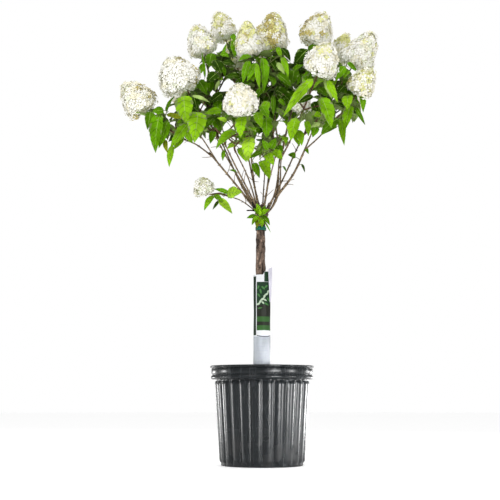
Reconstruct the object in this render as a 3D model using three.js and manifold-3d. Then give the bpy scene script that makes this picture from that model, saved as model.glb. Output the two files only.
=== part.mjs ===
// Panicle hydrangea trained as a small standard tree, together with its fluted nursery pot.
// Millimetres, +Z up, +X to the right of the front view, the front towards -Y.
// The origin is the middle of the pot's flat underside.

import * as THREE from 'three';
import { mergeVertices } from 'three/addons/utils/BufferGeometryUtils.js';
import Module from 'manifold-3d';

const wasm = await Module();
wasm.setup();

// Fit between neighbouring pieces
const GAP = 0.3;
const WELD = 0.0005;

// Nursery pot
const RIM_RADIUS = 152.5;
const WALL_TOP_RADIUS = 138.5;
const BASE_RADIUS = 122;
const BASE_BEVEL = 4;
const WALL_TOP = 252;
const WALL_NECK = 8;
const POT_WALL = 4.5;
const POT_FLOOR = 5;
const FLUTES = 24;
const FLUTE_FOOT = 16;
const FLUTE_TOP = 228;
const FLUTE_RISE = 1.5;
const FLUTE_FALL = 3.5;
const FACETS_PER_FLUTE = 3;
const SAME_PLACE = 0.01;

// Outline of the rim from the top of the wall outwards and over the lip: how far inside the
// rim's edge each point is, and how high above the top of the wall
const RIM_OUTLINE = [[2.5, 0], [0, 4], [3, 10], [1, 14], [0, 34], [3, 38], [6, 38]];
const RIM_UNDERCUT = 4;

// Potting mix in the pot: flat round the trunk, sinking a little towards the wall
const SOIL_LEVEL = 262;
const SOIL_SIDES = 24;
const SOIL_FLAT_RADIUS = 96;
const SOIL_EDGE_LEVEL = 256;
const SOIL_EDGE_SPREAD = 2;
const SOIL_SHOULDER = 246;

// Trunk
const TRUNK_SIDES = 10;
const TRUNK_ROWS = 16;
const TRUNK_FOOT_RADIUS = 14.6;
const TRUNK_TOP_RADIUS = 13.4;
const ROOT_FLARE = 5.2;
const ROOT_FLARE_HEIGHT = 16;
const KNUCKLE_HEIGHT = 746;
const KNUCKLE_SWELL = 7.5;
const KNUCKLE_SPREAD = 17;
const KNUCKLE_CROWN = 9;
const FORK_HEIGHT = 774;
const TRUNK_AXIS = [
  [0, 0, SOIL_LEVEL + GAP], [0, 0, 300], [-1, 2, 430], [-4, 3, 600], [-3, 0, 700], [1, 0, FORK_HEIGHT],
];

// Sleeve label standing on the potting mix round the trunk, and the tie under the fork
const LABEL_HALF_WIDTH = 25;
const LABEL_HALF_DEPTH = 20.8;
const LABEL_THICKNESS = 0.9;
const LABEL_TOP = 570;
const LABEL_SEGMENTS = 12;
const TIE_HEIGHT = 701;
const TIE_WIDTH = 11;
const TIE_THICKNESS = 1.6;
const TIE_SEGMENTS = 8;

// Boughs: the parent limb, how far along it they leave it (share of its length), the points that
// their axis passes, and the radius at the foot and at the tip. A bough of the trunk leaves the
// knuckle towards its first point.
const KNUCKLE_OFFSET = 11;
const BOUGH_SIDES = 5;
const BOUGH_ROW = 42;
const BOUGH_LEAST_ROWS = 5;
const BOUGHS = {
  bough_left_long: {
    from: 'trunk', radii: [4.2, 3], via: [[-75, -27, 827], [-158, -45, 925]],
  },
  bough_left_outer: {
    from: 'bough_left_long', leaves: 0.93, radii: [2.8, 2.3], via: [[-195, -46, 948], [-227, -50, 962]],
  },
  bough_left_upper: {
    from: 'bough_left_long', leaves: 0.84, radii: [2.6, 2.2], via: [[-172, -62, 955], [-191, -70, 979]],
  },
  bough_left_inner: {
    from: 'trunk', radii: [3.4, 2.4], via: [[-62, 34, 850], [-122, 62, 960], [-148, 76, 1020]],
  },
  bough_front_left: {
    from: 'trunk', radii: [3.4, 2.4], via: [[-44, -66, 812], [-80, -118, 872], [-105, -160, 918]],
  },
  bough_low_centre: {
    from: 'trunk', radii: [2.9, 2.2], via: [[-40, -18, 850], [-78, -52, 925]],
  },
  bough_centre_top: {
    from: 'trunk', radii: [3.4, 2.5], via: [[-25, 24, 860], [-38, 22, 1010]],
  },
  bough_front_centre: {
    from: 'trunk', radii: [2.7, 2.1], via: [[12, -34, 800], [39, -72, 903]],
  },
  bough_right_main: {
    from: 'trunk', radii: [8, 5], via: [[30, 2, 770], [48, 2, 819], [56, 2, 912], [66, 2, 955]],
  },
  bough_right_crown: {
    from: 'bough_right_main', leaves: 0.9, radii: [3.6, 2.7], via: [[46, 14, 1000], [38, 20, 1070]],
  },
  bough_right_top: {
    from: 'bough_right_main', leaves: 0.97, radii: [3.8, 2.6], via: [[84, 40, 1040], [108, 70, 1125]],
  },
  bough_right_front: {
    from: 'bough_right_main', leaves: 0.8, radii: [3.4, 2.5], via: [[92, -48, 975], [118, -88, 1034]],
  },
  bough_right_long: {
    from: 'bough_right_main', leaves: 0.26, radii: [4.6, 3.2], via: [[94, -14, 863], [134, -22, 948]],
  },
  bough_right_high: {
    from: 'bough_right_long', leaves: 0.88, radii: [2.9, 2.3], via: [[144, 0, 975], [158, 12, 1012]],
  },
  bough_right_outer: {
    from: 'bough_right_long', leaves: 0.94, radii: [2.8, 2.3], via: [[164, -38, 966], [192, -52, 992]],
  },
  bough_low_left: {
    from: 'trunk', radii: [2.2, 1.8], via: [[-62, -30, 781], [-100, -40, 793]],
  },
  bough_back_left: {
    from: 'trunk', radii: [3.6, 2.5], via: [[-58, 62, 838], [-120, 122, 985]],
  },
  bough_back_centre: {
    from: 'trunk', radii: [3.6, 2.5], via: [[-24, 96, 860], [-52, 190, 1019]],
  },
  bough_back_crown: {
    from: 'trunk', radii: [3.8, 2.6], via: [[20, 92, 858], [35, 190, 1030]],
  },
  bough_back_right: {
    from: 'trunk', radii: [3.6, 2.5], via: [[60, 84, 856], [125, 168, 1008]],
  },
  bough_back_low: {
    from: 'trunk', radii: [2.8, 2.1], via: [[6, 76, 824], [12, 140, 912]],
  },
};

// Foliage masses: the bough that carries each one, its flower heads as the head's middle with
// its width and height, and the middles of leafy side shoots that carry no flowers.
const MASSES = {
  mass_left_outer: {
    bough: 'bough_left_outer',
    heads: [[-378, -30, 1091, 106, 114]],
    shoots: [[-300, -62, 1010], [-262, -10, 1022]],
  },
  mass_left_upper: {
    bough: 'bough_left_upper',
    heads: [[-254, -80, 1148, 124, 122]],
    shoots: [[-212, -118, 1030], [-170, -92, 1068]],
  },
  mass_left_top: {
    bough: 'bough_left_inner',
    leafScale: 0.9,
    heads: [[-194, 60, 1303, 84, 104], [-129, 140, 1372, 86, 100]],
    shoots: [[-158, 58, 1188], [-101, 95, 1243], [-186, 30, 1150], [-124, 6, 1162]],
  },
  mass_front_left: {
    bough: 'bough_front_left',
    heads: [[-64, -250, 1033, 104, 112]],
    shoots: [[-136, -196, 962], [-44, -206, 950]],
  },
  mass_low_centre: {
    bough: 'bough_low_centre',
    heads: [],
    shoots: [[-116, -70, 985], [-66, -96, 1010], [-30, -84, 968]],
  },
  mass_centre_top: {
    bough: 'bough_centre_top',
    leafScale: 0.88,
    heads: [[-57, -26, 1287, 98, 120], [-18, 140, 1316, 80, 98]],
    shoots: [[-70, -60, 1130], [-92, 24, 1190], [-14, -40, 1160], [-24, 64, 1210], [-36, -92, 1108]],
  },
  mass_front_centre: {
    bough: 'bough_front_centre',
    heads: [],
    shoots: [[34, -104, 985], [66, -112, 960], [10, -100, 935]],
  },
  mass_right_crown: {
    bough: 'bough_right_crown',
    leafScale: 0.88,
    heads: [[34, 46, 1329, 106, 126]],
    shoots: [[24, -66, 1196], [88, -8, 1165], [70, 30, 1240], [4, -76, 1110], [66, -70, 1096]],
  },
  mass_right_top: {
    bough: 'bough_right_top',
    heads: [[174, 50, 1342, 106, 112], [262, 150, 1312, 86, 98]],
    shoots: [[130, 62, 1215], [176, 100, 1190], [146, 4, 1214]],
  },
  mass_right_front: {
    bough: 'bough_right_front',
    heads: [[171, -180, 1163, 106, 114], [122, -74, 1078, 58, 62]],
    shoots: [[104, -136, 1062], [180, -128, 1040]],
  },
  mass_right_high: {
    bough: 'bough_right_high',
    heads: [[315, 2, 1256, 106, 118]],
    shoots: [[222, 12, 1128], [270, 40, 1130], [246, -24, 1150]],
  },
  mass_right_outer: {
    bough: 'bough_right_outer',
    heads: [[297, -86, 1128, 92, 92]],
    shoots: [[262, -40, 1040], [236, -96, 1030]],
  },
  mass_low_left: {
    bough: 'bough_low_left',
    leafScale: 0.68,
    heads: [[-172, -60, 818, 62, 66]],
    shoots: [[-150, -76, 790]],
  },
  mass_back_left: {
    bough: 'bough_back_left',
    heads: [[-258, 172, 1206, 110, 116]],
    shoots: [[-196, 150, 1070], [-150, 186, 1110], [-232, 110, 1090]],
  },
  mass_back_centre: {
    bough: 'bough_back_centre',
    heads: [[-70, 300, 1176, 104, 112], [-88, 262, 1330, 92, 104]],
    shoots: [[-110, 240, 1110], [-40, 236, 1180]],
  },
  mass_back_crown: {
    bough: 'bough_back_crown',
    heads: [[38, 240, 1340, 98, 112]],
    shoots: [[20, 226, 1150], [72, 220, 1190], [44, 160, 1150]],
  },
  mass_back_right: {
    bough: 'bough_back_right',
    heads: [[189, 250, 1276, 106, 114], [304, 184, 1186, 98, 104]],
    shoots: [[150, 224, 1120], [214, 176, 1090]],
  },
  mass_back_low: {
    bough: 'bough_back_low',
    heads: [],
    shoots: [[-34, 196, 1000], [54, 206, 1010], [14, 250, 1060]],
  },
};

// Leaf rosette on a short shoot at the front of the trunk, just under the fork
const ROSETTE_HEIGHT = 729;
const ROSETTE_ROOT_DEPTH = 3;
const ROSETTE_STEM_RADIUS = 2.6;
const ROSETTE_STEM = [-2, -18, 7];
const ROSETTE_LEAVES = 9;
const ROSETTE_LEAF = 54;
const ROSETTE_SPREAD = 0.2;
const ROSETTE_BEND = 0.12;
const ROSETTE_FORWARD = 0.42;
const ROSETTE_SAG = 0.1;
const ROSETTE_UPWARD = [0, -1, 0.2];
const ROSETTE_SEED = 97;

// Twigs of a foliage mass. The stem goes on from the bough and turns towards the middle of the
// mass. The first twig leaves it near its end, and each later one a step further back.
const TWIG_SIDES = 3;
const STEM_RADIUS = 2.9;
const STEM_ROWS = 3;
const STEM_SHARE = 0.34;
const STEM_STRAIGHT = 0.25;
const STEM_ONWARD = 0.7;
const STEM_INWARD = 0.5;
const TWIG_FOOT_RADIUS = 2.61;
const TWIG_TIP_RADIUS = 2.1;
const TWIG_FIRST = 0.97;
const TWIG_LAST = 0.3;
const TWIG_STEP = 0.2;
const TWIG_STRAIGHT = 0.32;
const TWIG_WAVE = 14;
const TWIG_ROW = 60;
const TWIG_LEAST_ROWS = 2;
const TWIG_SAMPLES = 8;

// Leaves, in opposite pairs along the twigs
const INTERNODE = 33;
const FIRST_NODE = 0.2;
const LAST_NODE = 0.985;
const HEAD_STALK = 40;
const LEAF_LENGTH = 110;
const LEAF_SPREAD = 0.22;
const LEAF_WIDTH_SHARE = 0.5;
const LEAF_THICKNESS_SHARE = 0.03;
const LEAF_WIDEST = 0.4;
const LEAF_CUP = 0.05;
const LEAF_BEND = 0.05;
const LEAF_BEND_SPREAD = 0.16;
const LEAF_DROOP = 0.25;
const LEAF_DROOP_SPREAD = 0.74;
const LEAF_FORWARD = 0.42;
const LEAF_TURN = 1.2;
const LEAF_ROLL = 0.9;
const LEAF_ROOT_OFFSET = 0.3;
const LEAF_TRIES = 12;
const LEAF_CLEARANCE = 1.03;
const SIDEWAYS = new THREE.Vector3(0.31, 0.87, 0.38);

// Flower heads
const HEAD_SIDES = 10;
const HEAD_ROWS = 8;
const HEAD_BUMP = 0.055;
const HEAD_SHOULDER = 0.64;
const HEAD_FULLNESS = 0.62;
const HEAD_FOOT = 0.3;
const HEAD_LEAN_REACH = 600;
const HEAD_UPRIGHT = 0.75;

// Draws the same numbers every time from one seed.
function seededDraws(seed) {
  let state = (seed * 7919 + 104729) % 2147483647;
  return () => {
    state = (state * 16807) % 2147483647;
    return state / 2147483647;
  };
}

function vector(place) {
  return new THREE.Vector3(place[0], place[1], place[2]);
}

// A three.js geometry as a solid: shared corners merged, collapsed faces dropped.
function toSolid(geometry) {
  geometry.deleteAttribute('normal');
  geometry.deleteAttribute('uv');
  const merged = mergeVertices(geometry, WELD);
  const corners = merged.index.array;
  const kept = [];
  for (let i = 0; i < corners.length; i += 3) {
    const [a, b, c] = [corners[i], corners[i + 1], corners[i + 2]];
    if (a !== b && b !== c && c !== a) kept.push(a, b, c);
  }
  return new wasm.Manifold(new wasm.Mesh({
    numProp: 3,
    vertProperties: new Float32Array(merged.attributes.position.array),
    triVerts: new Uint32Array(kept),
  }));
}

function toGeometry(solid) {
  const mesh = solid.getMesh();
  const corners = new Float32Array(mesh.vertProperties);
  const faces = new Uint32Array(mesh.triVerts);
  const geometry = new THREE.BufferGeometry();
  geometry.setAttribute('position', new THREE.BufferAttribute(corners, 3));
  geometry.setIndex(new THREE.BufferAttribute(faces, 1));
  geometry.computeVertexNormals();
  return geometry;
}

// Keeps the largest skin, so that scraps are dropped and sealed hollows filled.
function largestBody(solid) {
  const bodies = solid.decompose();
  bodies.sort((a, b) => b.volume() - a.volume());
  return bodies[0];
}

// A limb: a cylinder bent along a curve, with a radius for each share of its length.
function limb(curve, radiusAt, sides, rows) {
  const geometry = new THREE.CylinderGeometry(1, 1, 1, sides, rows);
  const frames = curve.computeFrenetFrames(rows, false);
  const places = geometry.attributes.position;
  for (let i = 0; i < places.count; i += 1) {
    const row = Math.round((places.getY(i) + 0.5) * rows);
    const radius = radiusAt(row / rows);
    const place = curve.getPointAt(row / rows);
    place.addScaledVector(frames.normals[row], places.getX(i) * radius);
    place.addScaledVector(frames.binormals[row], -places.getZ(i) * radius);
    places.setXYZ(i, place.x, place.y, place.z);
  }
  return toSolid(geometry);
}

function curveThrough(points) {
  return new THREE.CatmullRomCurve3(points, false, 'centripetal');
}

function potOuterRadius(height) {
  return BASE_RADIUS + (WALL_TOP_RADIUS - BASE_RADIUS) * height / WALL_TOP;
}

function potInnerRadius(height) {
  return potOuterRadius(height) - POT_WALL;
}

// The fluted pot: a closed profile turned round the axis, then its wall is pushed in at the
// grooves and out between them.
function pot() {
  const profile = [
    [0, 0],
    [BASE_RADIUS - BASE_BEVEL, 0],
    [potOuterRadius(BASE_BEVEL), BASE_BEVEL],
    [potOuterRadius(FLUTE_FOOT), FLUTE_FOOT],
    [potOuterRadius(FLUTE_TOP), FLUTE_TOP],
    [WALL_TOP_RADIUS, WALL_TOP - WALL_NECK],
    ...RIM_OUTLINE.map(([inset, rise]) => [RIM_RADIUS - inset, WALL_TOP + rise]),
    [potInnerRadius(WALL_TOP), WALL_TOP - RIM_UNDERCUT],
    [potInnerRadius(POT_FLOOR), POT_FLOOR],
    [0, POT_FLOOR],
  ].map(([r, z]) => new THREE.Vector2(r, z));
  const facets = FLUTES * FACETS_PER_FLUTE;
  const geometry = new THREE.LatheGeometry(profile, facets);
  const places = geometry.attributes.position;
  for (let i = 0; i < places.count; i += 1) {
    const [x, height, z] = [places.getX(i), places.getY(i), places.getZ(i)];
    const radius = Math.hypot(x, z);
    const isOuterWall = Math.abs(radius - potOuterRadius(height)) < SAME_PLACE;
    if (!isOuterWall || height < FLUTE_FOOT || height > FLUTE_TOP) continue;
    const facet = Math.round(Math.atan2(x, z) / (2 * Math.PI) * facets);
    const push = facet % FACETS_PER_FLUTE === 0 ? -FLUTE_FALL : FLUTE_RISE;
    const scale = (radius + push) / radius;
    places.setXYZ(i, x * scale, height, z * scale);
  }
  geometry.rotateX(Math.PI / 2);
  return toSolid(geometry);
}

function pottingMix() {
  const radiusAt = (height) => potInnerRadius(height) - 2 * GAP;
  const foot = POT_FLOOR + GAP;
  const profile = [
    [0, foot],
    [radiusAt(foot), foot],
    [radiusAt(SOIL_SHOULDER), SOIL_SHOULDER],
    [radiusAt(SOIL_SHOULDER) + SOIL_EDGE_SPREAD, SOIL_EDGE_LEVEL],
    [SOIL_FLAT_RADIUS, SOIL_LEVEL],
    [0, SOIL_LEVEL],
  ].map(([r, z]) => new THREE.Vector2(r, z));
  return toSolid(new THREE.LatheGeometry(profile, SOIL_SIDES).rotateX(Math.PI / 2));
}

const trunkCurve = curveThrough(TRUNK_AXIS.map(vector));

// The trunk tapers from its root flare upwards, swells into a knuckle and narrows over it.
function trunkRadius(share) {
  const height = trunkCurve.getPointAt(share).z;
  const flare = ROOT_FLARE * Math.exp((SOIL_LEVEL - height) / ROOT_FLARE_HEIGHT);
  const taper = TRUNK_FOOT_RADIUS + (TRUNK_TOP_RADIUS - TRUNK_FOOT_RADIUS) * share;
  const knuckle = KNUCKLE_SWELL * Math.exp(-(((height - KNUCKLE_HEIGHT) / KNUCKLE_SPREAD) ** 2));
  const overKnuckle = Math.max(0, height - KNUCKLE_HEIGHT) / (FORK_HEIGHT - KNUCKLE_HEIGHT);
  return taper + flare + knuckle - KNUCKLE_CROWN * overKnuckle;
}

function trunk(clearance) {
  return limb(trunkCurve, (share) => trunkRadius(share) + clearance, TRUNK_SIDES, TRUNK_ROWS);
}

function trunkShareAt(height) {
  return (height - SOIL_LEVEL) / (FORK_HEIGHT - SOIL_LEVEL);
}

function ovalRing(halfWidth, halfDepth, thickness, depth, curveSegments) {
  const outline = new THREE.Shape();
  outline.absellipse(0, 0, halfWidth, halfDepth, 0, 2 * Math.PI);
  const hole = new THREE.Path();
  hole.absellipse(0, 0, halfWidth - thickness, halfDepth - thickness, 0, 2 * Math.PI);
  outline.holes.push(hole);
  return new THREE.ExtrudeGeometry(outline, { depth, curveSegments, bevelEnabled: false });
}

function wrapLabel() {
  const foot = SOIL_LEVEL + GAP;
  const height = LABEL_TOP - foot;
  const ring = ovalRing(LABEL_HALF_WIDTH, LABEL_HALF_DEPTH, LABEL_THICKNESS, height, LABEL_SEGMENTS);
  return toSolid(ring.translate(0, 0, foot));
}

function tieBand() {
  const share = trunkShareAt(TIE_HEIGHT);
  const middle = trunkCurve.getPointAt(share);
  const outer = trunkRadius(share) + GAP + TIE_THICKNESS;
  const ring = ovalRing(outer, outer, TIE_THICKNESS + GAP, TIE_WIDTH, TIE_SEGMENTS);
  ring.translate(middle.x, middle.y, TIE_HEIGHT - TIE_WIDTH / 2);
  return toSolid(ring).subtract(trunk(GAP));
}

// A bough's axis: it starts inside its parent and is cut clear of it afterwards.
const boughCurves = {};
function boughCurve(name) {
  const bough = BOUGHS[name];
  const via = bough.via.map(vector);
  let start;
  if (bough.from === 'trunk') {
    const fork = new THREE.Vector3(1, 0, KNUCKLE_HEIGHT);
    const outward = via[0].clone().sub(fork).setZ(0).normalize();
    start = fork.addScaledVector(outward, KNUCKLE_OFFSET);
  } else {
    start = boughCurves[bough.from].getPointAt(bough.leaves);
  }
  return curveThrough([start, ...via]);
}

function boughSolid(name, clearance) {
  const [foot, tip] = BOUGHS[name].radii;
  const rows = Math.max(BOUGH_LEAST_ROWS, Math.round(boughCurves[name].getLength() / BOUGH_ROW));
  const radiusAt = (share) => foot + (tip - foot) * share + clearance;
  return limb(boughCurves[name], radiusAt, BOUGH_SIDES, rows);
}

// A leaf: eight faces between its root, its tip, its two sides and the two skins of its blade.
function leaf(root, direction, upward, length, bend) {
  const forward = direction.clone().normalize();
  const side = new THREE.Vector3().crossVectors(upward, forward).normalize();
  const face = new THREE.Vector3().crossVectors(forward, side);
  const geometry = new THREE.OctahedronGeometry(1, 0);
  const places = geometry.attributes.position;
  const halfWidth = length * LEAF_WIDTH_SHARE / 2;
  const halfThickness = length * LEAF_THICKNESS_SHARE / 2;
  for (let i = 0; i < places.count; i += 1) {
    const [x, y, z] = [places.getX(i), places.getY(i), places.getZ(i)];
    const isTip = x > 0.5;
    const isRoot = x < -0.5;
    const along = isTip || isRoot ? (x + 1) / 2 : LEAF_WIDEST;
    const lift = isTip ? -bend * length : y * y * LEAF_CUP * length + z * halfThickness;
    const place = root.clone().addScaledVector(forward, along * length);
    place.addScaledVector(side, y * halfWidth).addScaledVector(face, lift);
    places.setXYZ(i, place.x, place.y, place.z);
  }
  return toSolid(geometry);
}

// How wide a flower head is between its foot (0) and its top (1), as a share of its full width.
function headShape(share) {
  return Math.max(0, Math.sin(Math.PI * share ** HEAD_SHOULDER)) ** HEAD_FULLNESS;
}

// A flower head: a blunt cone with bumps, its axis along the given direction.
function flowerHead(end, draws) {
  const profile = [];
  for (let row = 0; row <= HEAD_ROWS; row += 1) {
    const share = row / HEAD_ROWS;
    const radius = row === 0 || row === HEAD_ROWS ? 0 : headShape(share) * end.width / 2;
    profile.push(new THREE.Vector2(radius, (share - 0.5) * end.height));
  }
  const geometry = new THREE.LatheGeometry(profile, HEAD_SIDES);
  const places = geometry.attributes.position;
  const rows = HEAD_ROWS + 1;
  for (let i = 0; i < HEAD_SIDES * rows; i += 1) {
    const scale = 1 + HEAD_BUMP * (2 * draws() - 1);
    places.setXYZ(i, places.getX(i) * scale, places.getY(i), places.getZ(i) * scale);
  }
  for (let row = 0; row < rows; row += 1) {
    const last = HEAD_SIDES * rows + row;
    places.setXYZ(last, places.getX(row), places.getY(row), places.getZ(row));
  }
  const turn = new THREE.Quaternion().setFromUnitVectors(new THREE.Vector3(0, 1, 0), end.direction);
  geometry.applyQuaternion(turn).translate(end.place.x, end.place.y, end.place.z);
  return toSolid(geometry);
}

// A head leans outwards the further it stands from the trunk.
function headDirection(middle) {
  const [leanX, leanY] = [middle.x / HEAD_LEAN_REACH, middle.y / HEAD_LEAN_REACH];
  return new THREE.Vector3(leanX, leanY, HEAD_UPRIGHT).normalize();
}

// The stem of a mass, and the ends that its twigs reach: its flower heads, then its leafy shoots.
function massStem(mass) {
  const bough = boughCurves[mass.bough];
  const onward = bough.getTangentAt(1);
  const start = bough.getPointAt(1).addScaledVector(onward, GAP);
  const ends = [
    ...mass.heads.map(([x, y, z, width, height]) => ({ place: vector([x, y, z]), width, height })),
    ...mass.shoots.map((place) => ({ place: vector(place), width: 0, height: 0 })),
  ];
  const centre = new THREE.Vector3();
  ends.forEach((end) => centre.addScaledVector(end.place, 1 / ends.length));
  const reach = centre.distanceTo(start) * STEM_SHARE;
  const fork = start.clone().addScaledVector(onward, reach * STEM_ONWARD);
  fork.addScaledVector(centre.clone().sub(start).normalize(), reach * STEM_INWARD);
  const straight = start.clone().addScaledVector(onward, reach * STEM_STRAIGHT);
  return { stem: curveThrough([start, straight, fork]), fork, ends };
}

// A mass without its leaves: one stem on from the bough, one twig to each end, the flower heads.
function growTwigs(name, seed) {
  const mass = MASSES[name];
  const draws = seededDraws(seed);
  const { stem, fork, ends } = massStem(mass);
  const pieces = [{ solid: limb(stem, () => STEM_RADIUS, TWIG_SIDES, STEM_ROWS), twig: 'stem' }];
  const twigs = [];
  const radiusAt = (share) => TWIG_FOOT_RADIUS + (TWIG_TIP_RADIUS - TWIG_FOOT_RADIUS) * share;
  ends.forEach((end, order) => {
    const isHead = end.width > 0;
    end.direction = isHead ? headDirection(end.place) : end.place.clone().sub(fork).normalize();
    const foot = end.place.clone().addScaledVector(end.direction, -end.height * HEAD_FOOT);
    const straight = fork.distanceTo(foot) * TWIG_STRAIGHT;
    const before = foot.clone().addScaledVector(end.direction, -straight);
    before.x += (draws() - 0.5) * TWIG_WAVE;
    before.y += (draws() - 0.5) * TWIG_WAVE;
    const root = stem.getPointAt(Math.max(TWIG_LAST, TWIG_FIRST - TWIG_STEP * order));
    const curve = curveThrough([root, before, foot]);
    const rows = Math.max(TWIG_LEAST_ROWS, Math.round(curve.getLength() / TWIG_ROW));
    pieces.push({ solid: limb(curve, radiusAt, TWIG_SIDES, rows), twig: order });
    twigs.push({ curve, leafy: !isHead, samples: curve.getSpacedPoints(TWIG_SAMPLES) });
    if (isHead) pieces.push({ solid: flowerHead(end, draws), twig: 'head' });
  });
  return { pieces, twigs, draws, leafScale: mass.leafScale ?? 1 };
}

// Where leaves may stand: opposite pairs, each pair turned a quarter round the twig from the last.
function leafNodes(twig, draws) {
  const { curve, leafy } = twig;
  const length = curve.getLength();
  const first = FIRST_NODE * length;
  const last = leafy ? length : length - HEAD_STALK;
  const count = Math.max(1, Math.round((last - first) / INTERNODE));
  const nodes = [];
  let turn = draws() * Math.PI;
  for (let node = 0; node <= count; node += 1) {
    const share = Math.min(LAST_NODE, (first + (last - first) * node / count) / length);
    const forward = curve.getTangentAt(share);
    const across = new THREE.Vector3().crossVectors(forward, SIDEWAYS).normalize();
    nodes.push({ place: curve.getPointAt(share), forward, across, turns: [turn, turn + Math.PI] });
    turn += Math.PI / 2;
  }
  return nodes;
}

// One try at a leaf: it leaves its node sideways and forwards, and droops.
function leafTry(node, turn, scale, draws) {
  const outward = node.across.clone().applyAxisAngle(node.forward, turn + (draws() - 0.5) * LEAF_TURN);
  const direction = outward.clone().addScaledVector(node.forward, LEAF_FORWARD);
  direction.z -= LEAF_DROOP + LEAF_DROOP_SPREAD * draws();
  direction.normalize();
  const size = scale * LEAF_LENGTH * (1 + LEAF_SPREAD * (2 * draws() - 1));
  const upward = new THREE.Vector3(0, 0, 1).addScaledVector(direction, -direction.z);
  upward.applyAxisAngle(direction, (draws() - 0.5) * LEAF_ROLL).normalize();
  const root = node.place.clone().addScaledVector(outward, LEAF_ROOT_OFFSET);
  return { root, direction, upward, size, bend: LEAF_BEND + LEAF_BEND_SPREAD * draws() };
}

// A leaf belongs to a mass where its tip is nearer to its own twigs than to any other mass's.
function distanceToTwigs(point, twigs) {
  let nearest = Infinity;
  for (const twig of twigs) {
    for (const place of twig.samples) nearest = Math.min(nearest, place.distanceTo(point));
  }
  return nearest;
}

function boxesMeet(a, b) {
  return [0, 1, 2].every((axis) => a.min[axis] < b.max[axis] && b.min[axis] < a.max[axis]);
}

function touches(solid, others) {
  const box = solid.boundingBox();
  return others.some((other) => boxesMeet(box, other.box) && !solid.intersect(other.solid).isEmpty());
}

function remember(list, solid, owner, twig) {
  list.push({ solid, owner, twig, box: solid.boundingBox() });
}

const hydrangea = new THREE.Group();

function addPiece(name, solid, material) {
  const mesh = new THREE.Mesh(toGeometry(solid), material);
  mesh.name = name;
  hydrangea.add(mesh);
}

function finish(color, roughness) {
  return new THREE.MeshStandardMaterial({ color, roughness, metalness: 0 });
}

const potPlastic = finish(0x3f464a, 0.38);
const soilBrown = finish(0x3a241f, 0.95);
const bark = finish(0x7b6b5d, 0.85);
const youngBark = finish(0x6d5242, 0.75);
const labelPlastic = finish(0xd4dbe2, 0.45);
const tieTape = finish(0x0c7a78, 0.4);
const foliage = finish(0x4f9228, 0.55);

addPiece('pot', pot(), potPlastic);
addPiece('potting_mix', pottingMix(), soilBrown);
addPiece('trunk', trunk(0), bark);
addPiece('wrap_label', wrapLabel(), labelPlastic);
addPiece('tie_band', tieBand(), tieTape);

// Each bough is cut clear of its parent and of the boughs before it.
const limbs = [];
remember(limbs, trunk(GAP), 'trunk');
for (const name of Object.keys(BOUGHS)) {
  boughCurves[name] = boughCurve(name);
  let solid = boughSolid(name, 0);
  for (const other of limbs) {
    if (boxesMeet(solid.boundingBox(), other.box)) solid = largestBody(solid.subtract(other.solid));
  }
  addPiece(name, solid, youngBark);
  remember(limbs, boughSolid(name, GAP), name);
}

// All twigs and heads are placed first, so that the leaves can keep clear of them.
const grown = {};
const taken = [...limbs];
Object.keys(MASSES).forEach((name, order) => {
  grown[name] = growTwigs(name, order + 1);
  for (const { solid, twig } of grown[name].pieces) remember(taken, solid, name, twig);
});

// One leaf at a node, if any try at it stays in its mass's own space and touches nothing else.
function addLeaf(name, mass, node, turn, standing) {
  const others = Object.values(grown).filter((other) => other !== mass);
  for (let attempt = 0; attempt < LEAF_TRIES; attempt += 1) {
    const { root, direction, upward, size, bend } = leafTry(node, turn, mass.leafScale, mass.draws);
    const tip = root.clone().addScaledVector(direction, size);
    const own = distanceToTwigs(tip, mass.twigs);
    if (others.some((other) => distanceToTwigs(tip, other.twigs) < own)) continue;
    const clear = leaf(root, direction, upward, size * LEAF_CLEARANCE, bend);
    if (touches(clear, standing)) continue;
    mass.pieces.push({ solid: leaf(root, direction, upward, size, bend) });
    remember(taken, clear, name, 'leaf');
    return;
  }
}

for (const [name, mass] of Object.entries(grown)) {
  mass.twigs.forEach((twig, order) => {
    for (const node of leafNodes(twig, mass.draws)) {
      const standing = taken.filter((other) => other.owner !== name || other.twig !== order);
      for (const turn of node.turns) addLeaf(name, mass, node, turn, standing);
    }
  });
  const solids = mass.pieces.map(({ solid }) => solid);
  addPiece(name, largestBody(wasm.Manifold.union(solids)), foliage);
}

function rosette() {
  const share = trunkShareAt(ROSETTE_HEIGHT);
  const draws = seededDraws(ROSETTE_SEED);
  const foot = trunkCurve.getPointAt(share);
  foot.y -= trunkRadius(share) - ROSETTE_ROOT_DEPTH;
  const tip = foot.clone().add(vector(ROSETTE_STEM));
  const stem = curveThrough([foot, foot.clone().lerp(tip, 0.5), tip]);
  let solid = limb(stem, () => ROSETTE_STEM_RADIUS, TWIG_SIDES, TWIG_LEAST_ROWS);
  for (let i = 0; i < ROSETTE_LEAVES; i += 1) {
    const angle = 2 * Math.PI * (i + 0.5 * draws()) / ROSETTE_LEAVES;
    const direction = vector([Math.cos(angle), -ROSETTE_FORWARD, Math.sin(angle) - ROSETTE_SAG]);
    const size = ROSETTE_LEAF * (1 + ROSETTE_SPREAD * (2 * draws() - 1));
    const blade = leaf(tip, direction, vector(ROSETTE_UPWARD), size, ROSETTE_BEND);
    if (!touches(blade, taken)) solid = solid.add(blade);
  }
  return largestBody(solid.subtract(trunk(GAP)));
}
addPiece('rosette', rosette(), foliage);

export default hydrangea;
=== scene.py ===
"""A panicle hydrangea grown as a small standard tree, standing in its fluted nursery pot."""
import functools
import itertools
import math

import bpy
import numpy as np
from mathutils import Matrix, Vector, noise


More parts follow.
